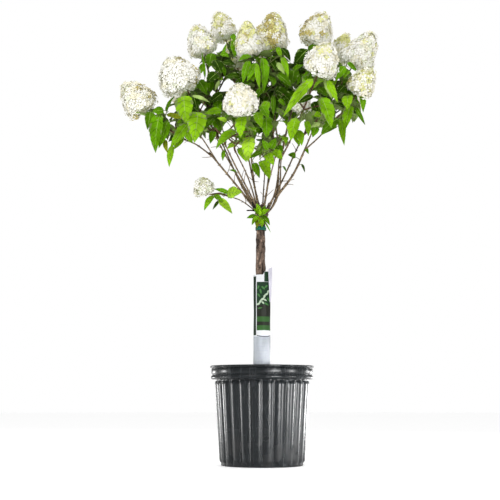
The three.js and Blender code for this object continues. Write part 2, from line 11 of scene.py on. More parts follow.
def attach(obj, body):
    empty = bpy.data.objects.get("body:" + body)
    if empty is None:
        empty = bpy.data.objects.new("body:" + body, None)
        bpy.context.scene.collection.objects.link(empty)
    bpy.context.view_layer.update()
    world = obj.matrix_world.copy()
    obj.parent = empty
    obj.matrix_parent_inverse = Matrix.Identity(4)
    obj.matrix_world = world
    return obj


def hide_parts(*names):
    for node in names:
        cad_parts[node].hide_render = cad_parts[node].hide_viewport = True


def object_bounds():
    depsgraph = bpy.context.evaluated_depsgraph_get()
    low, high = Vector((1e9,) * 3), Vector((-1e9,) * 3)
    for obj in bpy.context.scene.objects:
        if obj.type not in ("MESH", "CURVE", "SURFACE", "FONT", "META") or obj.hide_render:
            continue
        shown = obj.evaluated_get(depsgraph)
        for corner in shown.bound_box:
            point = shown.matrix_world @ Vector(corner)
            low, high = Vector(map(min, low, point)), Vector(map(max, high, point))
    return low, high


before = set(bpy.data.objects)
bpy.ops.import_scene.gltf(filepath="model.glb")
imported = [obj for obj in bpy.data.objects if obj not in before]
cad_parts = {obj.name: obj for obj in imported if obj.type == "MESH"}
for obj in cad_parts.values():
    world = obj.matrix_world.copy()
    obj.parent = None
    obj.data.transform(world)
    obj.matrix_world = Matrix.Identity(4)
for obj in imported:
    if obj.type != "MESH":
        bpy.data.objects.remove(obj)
CAD_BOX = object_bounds()

bl_info = {
    "name": "Potted Panicle Hydrangea",
    "version": (1, 0, 0),
    "blender": (4, 5, 0),
    "location": "3D View > Sidebar > Hydrangea",
    "description": "Dresses the frame of a potted hydrangea with bark, leaves and flower heads",
    "category": "Add Mesh",
}

# Lengths are millimetres until a piece is made. The front is towards -Y, and +X is its right.
MM = 0.001
TRUNK_AXIS = [[0, 0, 262.3], [0, 0, 300], [-1, 2, 430], [-4, 3, 600], [-3, 0, 700], [1, 0, 774]]
SOIL_LEVEL = 262.0
FORK_HEIGHT = 774.0
KNUCKLE_HEIGHT = 746.0
KNUCKLE_OFFSET = 11.0
TRUNK_RADIUS = 14.6
TRUNK_NARROWS = 1.2
LABEL_TOP = 570.0
LABEL_HALF = (25.0, 20.8)
TIE_HEIGHT = 701.0
EYE = np.array([-35.5, -3300.0, 190.0])
MOST_TRIANGLES = 200000

# Swellings of the trunk: how far they stand out, and how soon they die away along it.
ROOT_FLARE = (5.2, 16)
KNUCKLE = (7.5, 17)
KNUCKLE_NARROWS = 9

# Boughs: parent limb, where they leave it, radius at foot and tip, points of the axis.
BOUGHS = {
    "bough_left_long": ("trunk", 0, (4.2, 3), [[-75, -27, 827], [-158, -45, 925]]),
    "bough_left_outer": ("bough_left_long", 0.93, (2.8, 2.3), [[-195, -46, 948], [-227, -50, 962]]),
    "bough_left_upper": ("bough_left_long", 0.84, (2.6, 2.2), [[-172, -62, 955], [-191, -70, 979]]),
    "bough_left_inner": ("trunk", 0, (3.4, 2.4), [[-62, 34, 850], [-122, 62, 960], [-148, 76, 1020]]),
    "bough_front_left": ("trunk", 0, (3.4, 2.4), [[-44, -66, 812], [-80, -118, 872], [-105, -160, 918]]),
    "bough_low_centre": ("trunk", 0, (2.9, 2.2), [[-40, -18, 850], [-78, -52, 925]]),
    "bough_centre_top": ("trunk", 0, (3.4, 2.5), [[-25, 24, 860], [-38, 22, 1010]]),
    "bough_front_centre": ("trunk", 0, (2.7, 2.1), [[12, -34, 800], [39, -72, 903]]),
    "bough_right_main": (
        "trunk", 0, (8, 5), [[30, 2, 770], [48, 2, 819], [56, 2, 912], [66, 2, 955]],
    ),
    "bough_right_crown": ("bough_right_main", 0.9, (3.6, 2.7), [[46, 14, 1000], [38, 20, 1070]]),
    "bough_right_top": ("bough_right_main", 0.97, (3.8, 2.6), [[84, 40, 1040], [108, 70, 1125]]),
    "bough_right_front": ("bough_right_main", 0.8, (3.4, 2.5), [[92, -48, 975], [118, -88, 1034]]),
    "bough_right_long": ("bough_right_main", 0.26, (4.6, 3.2), [[94, -14, 863], [134, -22, 948]]),
    "bough_right_high": ("bough_right_long", 0.88, (2.9, 2.3), [[144, 0, 975], [158, 12, 1012]]),
    "bough_right_outer": ("bough_right_long", 0.94, (2.8, 2.3), [[164, -38, 966], [192, -52, 992]]),
    "bough_low_left": ("trunk", 0, (2.2, 1.8), [[-62, -30, 781], [-100, -40, 793]]),
    "bough_back_left": ("trunk", 0, (3.6, 2.5), [[-58, 62, 838], [-120, 122, 985]]),
    "bough_back_centre": ("trunk", 0, (3.6, 2.5), [[-24, 96, 860], [-52, 190, 1019]]),
    "bough_back_crown": ("trunk", 0, (3.8, 2.6), [[20, 92, 858], [35, 190, 1030]]),
    "bough_back_right": ("trunk", 0, (3.6, 2.5), [[60, 84, 856], [125, 168, 1008]]),
    "bough_back_low": ("trunk", 0, (2.8, 2.1), [[6, 76, 824], [12, 140, 912]]),
}

# Masses: carrying bough, leaf size, flower heads (middle, width, height, tint), leafy shoot ends.
MASSES = {
    "mass_left_outer": (
        "bough_left_outer", 1, [(-386, -30, 1103, 108, 103, "cream_inner")],
        [[-300, -62, 1010], [-262, -10, 1022]],
    ),
    "mass_left_upper": (
        "bough_left_upper", 1, [(-258, -80, 1164, 131, 98, "white_inner")],
        [[-212, -118, 1030], [-170, -92, 1068]],
    ),
    "mass_left_top": (
        "bough_left_inner", 0.9,
        [(-194, 60, 1313, 94, 93, "grey"), (-128, 140, 1386, 82, 92, "lime_top")],
        [[-158, 58, 1188], [-101, 95, 1243], [-186, 30, 1150], [-124, 6, 1162]],
    ),
    "mass_front_left": (
        "bough_front_left", 1, [(-64, -250, 1040, 101, 78, "white")],
        [[-136, -196, 962], [-44, -206, 950]],
    ),
    "mass_low_centre": (
        "bough_low_centre", 1, [],
        [[-116, -70, 985], [-66, -96, 1010], [-30, -84, 968]],
    ),
    "mass_centre_top": (
        "bough_centre_top", 0.88,
        [(-42, -26, 1290, 84, 102, "lime_top"), (2, 30, 1308, 66, 84, "ochre")],
        [[-70, -60, 1130], [-92, 24, 1190], [-14, -40, 1160], [-24, 64, 1210], [-36, -92, 1108]],
    ),
    "mass_front_centre": (
        "bough_front_centre", 1, [],
        [[34, -104, 985], [66, -112, 960], [10, -100, 935]],
    ),
    "mass_right_crown": (
        "bough_right_crown", 0.88, [(36, 46, 1338, 106, 114, "ochre_left")],
        [[24, -66, 1196], [88, -8, 1165], [70, 30, 1240], [4, -76, 1110], [66, -70, 1096]],
    ),
    "mass_right_top": (
        "bough_right_top", 1, [(180, 50, 1347, 106, 104, "ochre_rim"), (258, 150, 1317, 76, 96, "lime")],
        [[130, 62, 1215], [176, 100, 1190], [146, 4, 1214]],
    ),
    "mass_right_front": (
        "bough_right_front", 1,
        [(180, -180, 1179, 101, 93, "white_lime"), (122, -74, 1078, 58, 62, "green")],
        [[104, -136, 1062], [180, -128, 1040]],
    ),
    "mass_right_high": (
        "bough_right_high", 1, [(314, 2, 1262, 109, 118, "grey")],
        [[222, 12, 1128], [270, 40, 1130], [246, -24, 1150]],
    ),
    "mass_right_outer": (
        "bough_right_outer", 1, [(307, -86, 1137, 84, 82, "lime")],
        [[262, -40, 1040], [236, -96, 1030]],
    ),
    "mass_low_left": (
        "bough_low_left", 0.68, [(-176, -60, 823, 60, 46, "green")],
        [[-150, -76, 790]],
    ),
    "mass_back_left": (
        "bough_back_left", 1, [(-258, 172, 1206, 110, 116, "cream")],
        [[-196, 150, 1070], [-150, 186, 1110], [-232, 110, 1090]],
    ),
    "mass_back_centre": (
        "bough_back_centre", 1,
        [(-70, 300, 1176, 104, 112, "white"), (-88, 262, 1330, 92, 104, "lime_top")],
        [[-110, 240, 1110], [-40, 236, 1180]],
    ),
    "mass_back_crown": (
        "bough_back_crown", 1, [(38, 240, 1340, 98, 112, "lime_top")],
        [[20, 226, 1150], [72, 220, 1190], [44, 160, 1150]],
    ),
    "mass_back_right": (
        "bough_back_right", 1, [(189, 250, 1276, 106, 114, "white"), (304, 184, 1186, 98, 104, "cream")],
        [[150, 224, 1120], [214, 176, 1090]],
    ),
    "mass_back_low": (
        "bough_back_low", 1, [],
        [[-34, 196, 1000], [54, 206, 1010], [14, 250, 1060]],
    ),
}

# Leaves that show at the front, by carrier: foot x and z, tip x and z, depth, width, tone.
# Each tone is a lit or shaded copy of one green, so it paints the light and shade on the leaf as well as
# its colour.
SEEN_LEAVES = {
    "mass_left_outer": [
        (-304, 1037, -315, 919, -70, 45, "middle"), (-281, 1021, -306, 932, -60, 27, "middle"),
        (-292, 1045, -326, 1040, -80, 24, "shaded"), (-287, 1048, -261, 1093, -50, 15, "shaded"),
        (-287, 1041, -232, 1022, -50, 17, "olive"), (-218, 1012, -271, 930, -70, 30, "fresh"),
        (-267, 944, -275, 876, -60, 21, "bright"), (-290, 962, -281, 919, -50, 15, "olive"),
        (-255, 980, -279, 955, -40, 18, "deep"), (-334, 1046, -340, 986, -66, 28, "shaded"),
        (-236, 974, -262, 928, -62, 22, "bright"),
    ],
    "mass_left_upper": [
        (-230, 1074, -221, 990, -135, 50, "bright"), (-188, 1028, -197, 933, -125, 54, "bright"),
        (-202, 1081, -191, 1035, -100, 27, "deep"), (-207, 1081, -154, 1054, -115, 13, "pale"),
        (-193, 1044, -224, 1004, -90, 21, "deep"), (-119, 1042, -169, 1029, -90, 21, "fresh"),
        (-140, 1025, -169, 985, -80, 27, "shaded"), (-143, 982, -153, 942, -80, 24, "middle"),
        (-222, 979, -206, 943, -82, 22, "fresh"),
    ],
    "mass_left_top": [
        (-85, 1290, -83, 1229, 0, 26, "middle"), (-91, 1306, -76, 1277, 0, 19, "middle"),
        (-122, 1240, -108, 1281, 20, 11, "middle"), (-153, 1251, -160, 1203, 10, 31, "shaded"),
        (-145, 1226, -124, 1175, 0, 31, "deep"), (-119, 1219, -80, 1210, 10, 22, "deep"),
        (-128, 1251, -100, 1237, 20, 19, "middle"), (-135, 1184, -167, 1151, 0, 35, "deep"),
        (-125, 1213, -113, 1178, 20, 19, "middle"), (-174, 1171, -184, 1248, 10, 9, "middle"),
        (-193, 1161, -167, 1110, 0, 31, "shaded"), (-130, 1159, -141, 1125, -10, 14, "pale"),
        (-121, 1120, -159, 1088, 0, 24, "deep"), (-178, 1217, -189, 1180, 14, 20, "middle"),
    ],
    "mass_front_left": [
        (-74, 953, -131, 899, -200, 34, "fresh"), (-55, 990, -62, 923, -225, 38, "bright"),
        (-36, 934, -41, 861, -205, 37, "young"), (-81, 917, -101, 898, -190, 13, "young"),
        (-110, 900, -113, 866, -190, 11, "middle"), (-102, 983, -130, 991, -190, 14, "young"),
        (-68, 908, -46, 864, -180, 24, "bright"),
    ],
    "mass_low_centre": [
        (-18, 1027, -3, 976, -130, 28, "fresh"), (12, 1017, 13, 954, -110, 34, "middle"),
        (-3, 1048, 17, 1003, -120, 27, "middle"),
    ],
    "mass_front_centre": [
        (17, 917, 0, 941, -115, 19, "middle"), (25, 920, 41, 948, -115, 22, "middle"),
        (0, 910, -36, 889, -125, 16, "shaded"), (14, 904, 33, 868, -120, 28, "bright"),
        (-3, 882, 21, 824, -125, 31, "bright"), (-25, 878, -8, 830, -115, 23, "middle"),
        (32, 916, 59, 889, -105, 28, "bright"), (44, 933, 59, 909, -95, 24, "shaded"),
    ],
    "mass_centre_top": [
        (1, 1208, 2, 1094, -80, 30, "middle"), (-16, 1190, -7, 1106, -85, 16, "fresh"),
        (-17, 1193, -44, 1132, -75, 20, "middle"), (-39, 1205, -57, 1134, -65, 23, "middle"),
        (-32, 1221, -69, 1199, -55, 24, "middle"), (1, 1120, -17, 1080, -60, 21, "shaded"),
        (-61, 1160, -113, 1152, -40, 24, "deep"), (-42, 1166, -63, 1138, -40, 24, "deep"),
    ],
    "mass_right_crown": [
        (19, 1213, 43, 1169, -50, 30, "deep"), (46, 1197, 68, 1155, -70, 15, "pale"),
        (59, 1257, 87, 1213, -20, 23, "deep"), (46, 1251, 61, 1210, -50, 15, "fresh"),
        (61, 1211, 78, 1142, -75, 21, "fresh"), (98, 1180, 125, 1191, -40, 17, "middle"),
        (99, 1182, 92, 1132, -40, 36, "shaded"), (46, 1163, 88, 1118, -60, 29, "shaded"),
        (43, 1116, 91, 1071, -50, 36, "deep"), (34, 1097, 35, 1029, -65, 14, "shaded"),
        (18, 1077, -4, 1025, -70, 28, "fresh"), (51, 1080, 70, 1056, -80, 13, "middle"),
    ],
    "mass_right_top": [
        (145, 1272, 101, 1216, 40, 37, "deep"), (145, 1270, 173, 1283, 40, 17, "shaded"),
    ],
    "mass_right_front": [
        (147, 1111, 62, 995, -190, 30, "bright"), (172, 1061, 198, 969, -165, 41, "fresh"),
        (189, 1115, 218, 1043, -160, 22, "bright"), (181, 1117, 203, 1056, -158, 15, "pale"),
        (165, 1097, 189, 1069, -130, 28, "shaded"), (149, 1073, 102, 1044, -140, 19, "deep"),
        (99, 1008, 84, 940, -135, 35, "bright"), (105, 976, 115, 925, -120, 25, "fresh"),
        (151, 1063, 165, 1029, -110, 24, "deep"), (173, 1022, 152, 1015, -125, 19, "bright"),
        (171, 998, 142, 979, -125, 18, "pale"), (129, 1004, 135, 956, -115, 22, "fresh"),
        (160, 988, 148, 952, -108, 22, "middle"), (97, 972, 110, 929, -92, 22, "bright"),
    ],
    "mass_right_outer": [
        (225, 1014, 174, 966, -105, 34, "shaded"), (255, 1085, 253, 1038, -100, 33, "bright"),
        (265, 1058, 248, 986, -90, 33, "fresh"), (301, 1102, 300, 1036, -80, 18, "middle"),
        (278, 1056, 305, 997, -80, 15, "shaded"), (237, 1024, 242, 934, -85, 22, "fresh"),
        (246, 1058, 216, 1064, -70, 16, "deep"), (222, 992, 174, 960, -98, 20, "fresh"),
    ],
    "mass_right_high": [
        (251, 1129, 227, 1098, -50, 24, "deep"), (251, 1188, 222, 1141, -60, 24, "middle"),
        (259, 1202, 288, 1166, -52, 14, "middle"),
    ],
    "mass_low_left": [
        (-103, 792, -60, 795, -75, 38, "young"), (-98, 797, -141, 806, -70, 16, "middle"),
        (-142, 786, -169, 741, -80, 21, "fresh"), (-127, 777, -88, 731, -80, 25, "young"),
        (-127, 772, -145, 744, -75, 10, "deep"), (-142, 788, -115, 767, -85, 16, "middle"),
    ],
    "bough_right_long": [
        (102, 917, 79, 921, -20, 21, "shaded"), (132, 948, 141, 923, -18, 11, "middle"),
        (119, 896, 129, 867, -16, 8, "deep"),
    ],
    "bough_front_left": [(-75, 854, -97, 857, -100, 8, "middle")],
    "bough_right_main": [(65, 893, 74, 873, 0, 7, "middle")],
}

# Openings that one sees through in the crown's front: x, z, half width, half height.
OPENINGS = [
    (64, 1008, 12, 18), (127, 1020, 10, 16), (154, 1090, 9, 12),
    (-101, 1143, 21, 16), (-126, 1135, 9, 10), (-71, 1203, 14, 15), (-178, 1169, 8, 15),
    (-152, 1193, 14, 6), (-149, 1118, 9, 10), (-97, 1224, 5, 10), (-108, 1256, 7, 13),
    (-142, 1261, 14, 10), (-175, 1210, 6, 9), (-100, 1015, 18, 14), (-11, 986, 7, 10),
    (-20, 962, 7, 12), (-32, 936, 7, 6), (38, 987, 9, 6), (54, 1032, 5, 7), (29, 1150, 4, 10),
    (79, 1123, 6, 7), (92, 1248, 14, 18), (131, 1186, 6, 7), (231, 1058, 11, 13), (155, 1121, 6, 7),
    (169, 1120, 5, 7), (150, 1071, 4, 11), (123, 1002, 5, 12), (174, 1005, 5, 7), (250, 1100, 6, 9),
    (279, 1077, 4, 4), (-267, 1024, 15, 8), (-271, 1068, 8, 12), (-179, 1077, 12, 8),
    (-162, 1015, 8, 12), (-206, 946, 15, 10), (-121, 977, 5, 6), (222, 1112, 4, 9),
]

# The leafy crown's upper and lower edges from the front: x, z.
LEAFY_TOP = [
    (-433, 1061), (-311, 1074), (-244, 1115), (-213, 1137), (-189, 1232), (-171, 1257), (-140, 1254),
    (-91, 1292), (-63, 1296), (-36, 1257), (1, 1257), (45, 1276), (69, 1261), (87, 1222), (109, 1235),
    (128, 1264), (174, 1273), (198, 1241), (259, 1210), (280, 1175), (301, 1140), (326, 1124), (378, 1124),
]
LEAFY_FOOT = [
    (-433, 1074), (-356, 1046), (-340, 993), (-321, 955), (-279, 946), (-242, 977), (-157, 977),
    (-108, 949), (-57, 949), (-36, 924), (-5, 912), (25, 909), (74, 934), (95, 968), (123, 965),
    (172, 1002), (239, 1011), (257, 1002), (276, 1024), (316, 1058), (331, 1087), (377, 1099),
]

# Growth of a mass, as in the part's source. Head draws are those that its heads take there.
GAP = 0.3
STEM_SHARE = 0.34
TWIG_WAVE = 14.0
INTERNODE = 33.0
HEAD_STALK = 40.0
SIDEWAYS = np.array([0.31, 0.87, 0.38])
HEAD_DRAWS = 90

# A flower head leans outward by its place over these lengths, and always nods to the front.
HEAD_LEAN = (640, 900)
HEAD_NOD = 0.2
HEAD_UPRIGHT = 0.75

# Half a flower head's width by the share of its height, for a dome and for a cone.
HEAD_OUTLINE = [
    (0, 0.4, 0.45), (0.03, 0.88, 0.9), (0.08, 0.98, 0.98), (0.16, 1, 1), (0.25, 1, 0.95),
    (0.38, 0.93, 0.86), (0.56, 0.8, 0.7), (0.72, 0.64, 0.53), (0.86, 0.44, 0.35), (0.95, 0.25, 0.2),
    (1, 0, 0),
]

# Leaf blades: corners along and across, side veins and how far these lean forward.
LEAF_ROWS = 20
LEAF_COLUMNS = 6
VEIN_PAIRS = 5
VEIN_LEAN = 0.2
SKIN_GAP = 0.55
RIB_LIFT = 0.55
VEIN_LIFT = 0.5

# The crown's middle and reach, by which its leaves are paler outward and deeper inward: partly the age of
# the shoots, partly painted light outside the crown and painted shade inside it.
# Those in front are painted darker, as shade behind the leaves of the table.
CROWN_MIDDLE = np.array([0, 10, 1080])
CROWN_REACH = np.array([330, 270, 230])
FRONT = 60
FRONT_SHADE = 0.76

# Seen leaves are a little larger than measured, and a long gap to the wood gets a side twig.
SEEN_LONGER = 1.03
SEEN_WIDER = 1.15
LONG_GAP = 32
KNEE = 14

# Side twigs: length, room, and the size of their leaves and of those on the twigs themselves.
SPRIG_LENGTH = (34, 60)
SPRIG_ROOM = 5.0
SPRIG_LEAF = (0.5, 0.78)
TWIG_LEAF = (0.82, 1.05)

# Room for the leaves: tries for one, and what they keep clear of.
LEAF_TRIES = 16
LIMB_ROOM = 6
OWN_SPACE = 12
SEEN_ROOM = 9
SEEN_DEPTH = 6
HEAD_ROOM = 0.4
HEADS_IN_VIEW = 100


class Draws:
    """The same row of numbers every time from one seed, as in the part's source."""

    MODULUS = 2147483647
    FACTOR = 16807

    def __init__(self, seed):
        self.state = (seed * 7919 + 104729) % self.MODULUS

    def __call__(self, low=0.0, high=1.0):
        self.state = self.state * self.FACTOR % self.MODULUS
        return low + (high - low) * self.state / self.MODULUS

    def skip(self, count):
        for _ in range(count):
            self()

    def array(self, count, low=0.0, high=1.0):
        return np.array([self(low, high) for _ in range(count)])


def unit(vectors):
    vectors = np.asarray(vectors, float)
    return vectors / np.linalg.norm(vectors, axis=-1, keepdims=True)


def turned(vector, axis, angle):
    """The vector turned round a unit axis."""
    along = axis * np.dot(axis, vector)
    return along + (vector - along) * math.cos(angle) + np.cross(axis, vector) * math.sin(angle)


class Curve:
    """A smooth curve through points, walked by share of its length."""

    STEPS = 48

    def __init__(self, points):
        points = [np.array(p, float) for p in points]
        ends = [2 * points[0] - points[1], *points, 2 * points[-1] - points[-2]]
        t = np.linspace(0, 1, self.STEPS, endpoint=False)[:, None]
        rows = []
        for p0, p1, p2, p3 in zip(ends, ends[1:], ends[2:], ends[3:]):
            d0, d1, d2 = (math.sqrt(np.linalg.norm(b - a)) for a, b in ((p0, p1), (p1, p2), (p2, p3)))
            leave = d1 * ((p1 - p0) / d0 - (p2 - p0) / (d0 + d1) + (p2 - p1) / d1)
            reach = d1 * ((p2 - p1) / d1 - (p3 - p1) / (d1 + d2) + (p3 - p2) / d2)
            square = -3 * p1 + 3 * p2 - 2 * leave - reach
            cube = 2 * p1 - 2 * p2 + leave + reach
            rows.append(p1 + leave * t + square * t ** 2 + cube * t ** 3)
        self.path = np.vstack([*rows, points[-1][None]])
        steps = np.linalg.norm(np.diff(self.path, axis=0), axis=1)
        self.marks = np.concatenate([[0], np.cumsum(steps)])
        self.length = self.marks[-1]

    def at(self, share):
        mark = np.clip(share, 0, 1) * self.length
        return np.stack([np.interp(mark, self.marks, self.path[:, k]) for k in range(3)], -1)

    def along(self, share):
        low = np.clip(np.asarray(share, float) - 0.004, 0, 1)
        high = np.clip(np.asarray(share, float) + 0.004, 0, 1)
        return unit(self.at(high) - self.at(low))


def linked(name, data):
    """An object of the scene that shows the data."""
    made = bpy.data.objects.new(name, data)
    bpy.context.scene.collection.objects.link(made)
    return made


class Heap:
    """Corners and faces gathered for one joined piece."""

    def __init__(self):
        self.corners = []
        self.faces = {3: [], 4: []}
        self.count = 0

    def add(self, corners, faces):
        corners = np.asarray(corners, float).reshape(-1, 3)
        for rows in faces:
            rows = np.asarray(rows, int)
            self.faces[rows.shape[1]].append(rows + self.count)
        self.corners.append(corners)
        self.count += len(corners)

    def add_many(self, corners, faces):
        """Corners of many like shapes (shape, corner, 3), all with the same faces."""
        shapes, size = corners.shape[:2]
        starts = (np.arange(shapes) * size)[:, None, None]
        copies = [np.asarray(rows, int)[None] + starts for rows in faces]
        self.add(corners, [rows.reshape(-1, rows.shape[2]) for rows in copies])

    def triangles(self):
        return sum((size - 2) * len(rows) for size, many in self.faces.items() for rows in many)

    def piece(self, name, material, slot, replaces=(), smooth=True):
        corners = np.vstack(self.corners) * MM
        groups = [np.vstack(self.faces[size]) for size in (3, 4) if self.faces[size]]
        loops = np.concatenate([rows.ravel() for rows in groups])
        sizes = np.concatenate([np.full(len(rows), rows.shape[1]) for rows in groups])
        mesh = bpy.data.meshes.new(name)
        mesh.vertices.add(len(corners))
        mesh.vertices.foreach_set("co", corners.ravel())
        mesh.loops.add(len(loops))
        mesh.loops.foreach_set("vertex_index", loops)
        mesh.polygons.add(len(sizes))
        mesh.polygons.foreach_set("loop_start", np.concatenate([[0], np.cumsum(sizes)[:-1]]))
        mesh.polygons.foreach_set("use_smooth", np.full(len(sizes), smooth))
        mesh.materials.append(material)
        mesh.update(calc_edges=True)
        if mesh.validate():
            raise RuntimeError(f"{name} has broken faces")
        if self.triangles() >= MOST_TRIANGLES:
            raise RuntimeError(f"{name} has {self.triangles()} triangles")
        piece = linked(name, mesh)
        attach(piece, "root")
        if replaces:
            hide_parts(*replaces)


def grid_faces(rows, columns, closed=False):
    """Faces of a grid with its corners row by row. A closed one joins its last column to the first."""
    row, column = np.meshgrid(np.arange(rows - 1), np.arange(columns - (not closed)), indexing="ij")
    after = (column + 1) % columns
    near, far = row * columns, (row + 1) * columns
    return np.stack([near + column, near + after, far + after, far + column], -1).reshape(-1, 4)


def tube(heap, curve, radius_at, sides, step, relief=None):
    """A limb along a curve, closed at both ends. Relief adds to the radius by length and angle."""
    rows = max(3, round(curve.length / step) + 1)
    shares = np.linspace(0, 1, rows)
    centres, ahead = curve.at(shares), curve.along(shares)
    across = np.empty_like(ahead)
    side = np.cross(ahead[0], [0.2, 1, 0.1])
    for row in range(rows):
        side = unit(side - ahead[row] * np.dot(side, ahead[row]))
        across[row] = side
    beside = np.cross(ahead, across)
    angles = np.arange(sides) * 2 * math.pi / sides
    radius = np.repeat(radius_at(shares)[:, None], sides, 1)
    if relief is not None:
        radius = radius + relief(shares * curve.length, angles)
    cosine, sine = np.cos(angles)[None, :, None], np.sin(angles)[None, :, None]
    ring = across[:, None] * cosine + beside[:, None] * sine
    corners = (centres[:, None] + ring * radius[..., None]).reshape(-1, 3)
    foot, tip = len(corners), len(corners) + 1
    corners = np.vstack([corners, centres[0] - ahead[0] * radius[0, 0] * 0.2,
                         centres[-1] + ahead[-1] * radius[-1, 0] * 0.6])
    first = np.arange(sides)
    after = (first + 1) % sides
    end = (rows - 1) * sides
    caps = np.vstack([np.stack([np.full(sides, foot), after, first], 1),
                      np.stack([np.full(sides, tip), first + end, after + end], 1)])
    heap.add(corners, [grid_faces(rows, sides, closed=True), caps])


def taper(foot, tip):
    """A limb's radius that goes evenly from its foot to its tip."""
    return lambda shares: foot + (tip - foot) * shares


def lathe(heap, profile, sides, push):
    """A closed profile of (radius, height) turned round the upright axis. Push moves its corners."""
    profile = np.array(profile, float)
    angles = np.arange(sides) * 2 * math.pi / sides
    radius = np.repeat(profile[:, :1], sides, 1)
    height = np.repeat(profile[:, 1:], sides, 1)
    radius, height = push(radius, height, angles[None])
    corners = np.stack([radius * np.sin(angles), -radius * np.cos(angles), height], -1)
    heap.add(corners, [grid_faces(len(profile), sides, closed=True)])


# The crown's frame: limbs, twigs and flower heads


@functools.cache
def trunk_curve():
    return Curve(TRUNK_AXIS)


def trunk_radius(height):
    """The trunk tapers from its root flare, swells into a knuckle and narrows over it."""
    height = np.asarray(height, float)
    stem = TRUNK_RADIUS - TRUNK_NARROWS * (height - SOIL_LEVEL) / (FORK_HEIGHT - SOIL_LEVEL)
    flare = ROOT_FLARE[0] * np.exp((SOIL_LEVEL - height) / ROOT_FLARE[1])
    knuckle = KNUCKLE[0] * np.exp(-((height - KNUCKLE_HEIGHT) / KNUCKLE[1]) ** 2)
    over = np.maximum(0, height - KNUCKLE_HEIGHT) / (FORK_HEIGHT - KNUCKLE_HEIGHT)
    return stem + flare + knuckle - KNUCKLE_NARROWS * over


@functools.cache
def bough_curves():
    curves = {}
    for name, (parent, leaves, _, via) in BOUGHS.items():
        if parent == "trunk":
            fork = np.array([1, 0, KNUCKLE_HEIGHT])
            outward = np.array(via[0], float) - fork
            outward[2] = 0
            start = fork + unit(outward) * KNUCKLE_OFFSET
        else:
            start = curves[parent].at(leaves)
        curves[name] = Curve([start, *via])
    return curves


class Head:
    """A flower head: its middle, its axis and the shape between its foot and its top."""

    def __init__(self, row):
        self.middle = np.array(row[:3], float)
        self.width, self.height, self.tint = row[3:]
        sideways, back = self.middle[:2] / HEAD_LEAN
        self.axis = unit([sideways, back - HEAD_NOD, HEAD_UPRIGHT])
        self.across = unit(np.cross(self.axis, [0.0, 1.0, 0.2]))
        self.beside = np.cross(self.axis, self.across)

    def shape(self, share):
        """Half the width at a share of the height. A tall head is pointed, a broad one is a dome."""
        heights, dome, cone = np.transpose(HEAD_OUTLINE)
        pointed = np.clip((self.height / self.width - 0.8) / 0.7, 0, 1)
        return np.interp(share, heights, dome + (cone - dome) * pointed)

    def holds(self, points, room=2.0):
        away = points - self.middle
        share = away @ self.axis / self.height + 0.5
        radius = np.hypot(away @ self.across, away @ self.beside)
        inside = (share > 0.03) & (share < 1.02)
        return inside & (radius < self.shape(share) * self.width / 2 + room)


class Twig:
    """A twig of a mass. A leafy one ends in leaves, any other in a flower head."""

    def __init__(self, mass, points, leafy, tone):
        self.mass = mass
        self.curve = Curve(points)
        self.leafy = leafy
        self.tone = tone
        self.samples = self.curve.at(np.linspace(0, 1, 9))


@functools.cache
def crown():
    """All stems, twigs, heads and each mass's draws, by the source's rule and from its seeds."""
    stems, twigs, heads, draws_of = [], [], [], {}
    for order, (mass, (bough, _, head_rows, shoots)) in enumerate(MASSES.items()):
        draws = draws_of[mass] = Draws(order + 1)
        tones = Draws(order + 301)
        carrier = bough_curves()[bough]
        onward = carrier.along(1.0)
        start = carrier.at(1.0) + onward * GAP
        own_heads = [Head(row) for row in head_rows]
        ends = [head.middle for head in own_heads] + [np.array(p, float) for p in shoots]
        centre = np.mean(ends, axis=0)
        reach = np.linalg.norm(centre - start) * STEM_SHARE
        fork = start + onward * reach * 0.7 + unit(centre - start) * reach * 0.5
        stem = Curve([start, start + onward * reach * 0.25, fork])
        stems.append(stem)
        for number, end in enumerate(ends):
            head = own_heads[number] if number < len(own_heads) else None
            direction = head.axis if head else unit(end - fork)
            foot = end - direction * (head.height * 0.3 if head else 0)
            before = foot - direction * np.linalg.norm(fork - foot) * 0.32
            before[0] += (draws() - 0.5) * TWIG_WAVE
            before[1] += (draws() - 0.5) * TWIG_WAVE
            root = stem.at(max(0.3, 0.97 - 0.2 * number))
            twigs.append(Twig(mass, [root, before, foot], head is None, tones()))
            if head:
                draws.skip(HEAD_DRAWS)
        heads.extend(own_heads)
    return stems, twigs, heads, draws_of


# Leaves


LEAF_FIELDS = ("length", "width", "droop", "fold", "curl", "twist", "wave", "phase")


class Leaves:
    """Many leaves at once, as arrays, so that their blades and veins come from one rule."""

    def __init__(self):
        self.rows = []

    def add(self, root, forward, upward, tone, sizes):
        forward = unit(forward)
        side = unit(np.cross(upward, forward))
        self.rows.append((root, forward, side, np.cross(forward, side), tone, sizes))

    def chosen(self, tone=None):
        """The arrays of one tone's leaves, or of all leaves, or nothing where there are none."""
        rows = [row for row in self.rows if tone is None or row[4] == tone]
        if not rows:
            return None
        leaves = {}
        for place, name in enumerate(("root", "forward", "side", "face")):
            leaves[name] = np.array([row[place] for row in rows])[:, None]
        for field in LEAF_FIELDS:
            leaves[field] = np.array([row[5][field] for row in rows])[:, None]
        return leaves


def leaf_outline(along):
    """Half the width of a leaf blade along its length, as a share of its widest half."""
    along = np.clip(along, 0, 1)
    return along ** 0.66 * (1 - along) ** 1.1 / 0.308


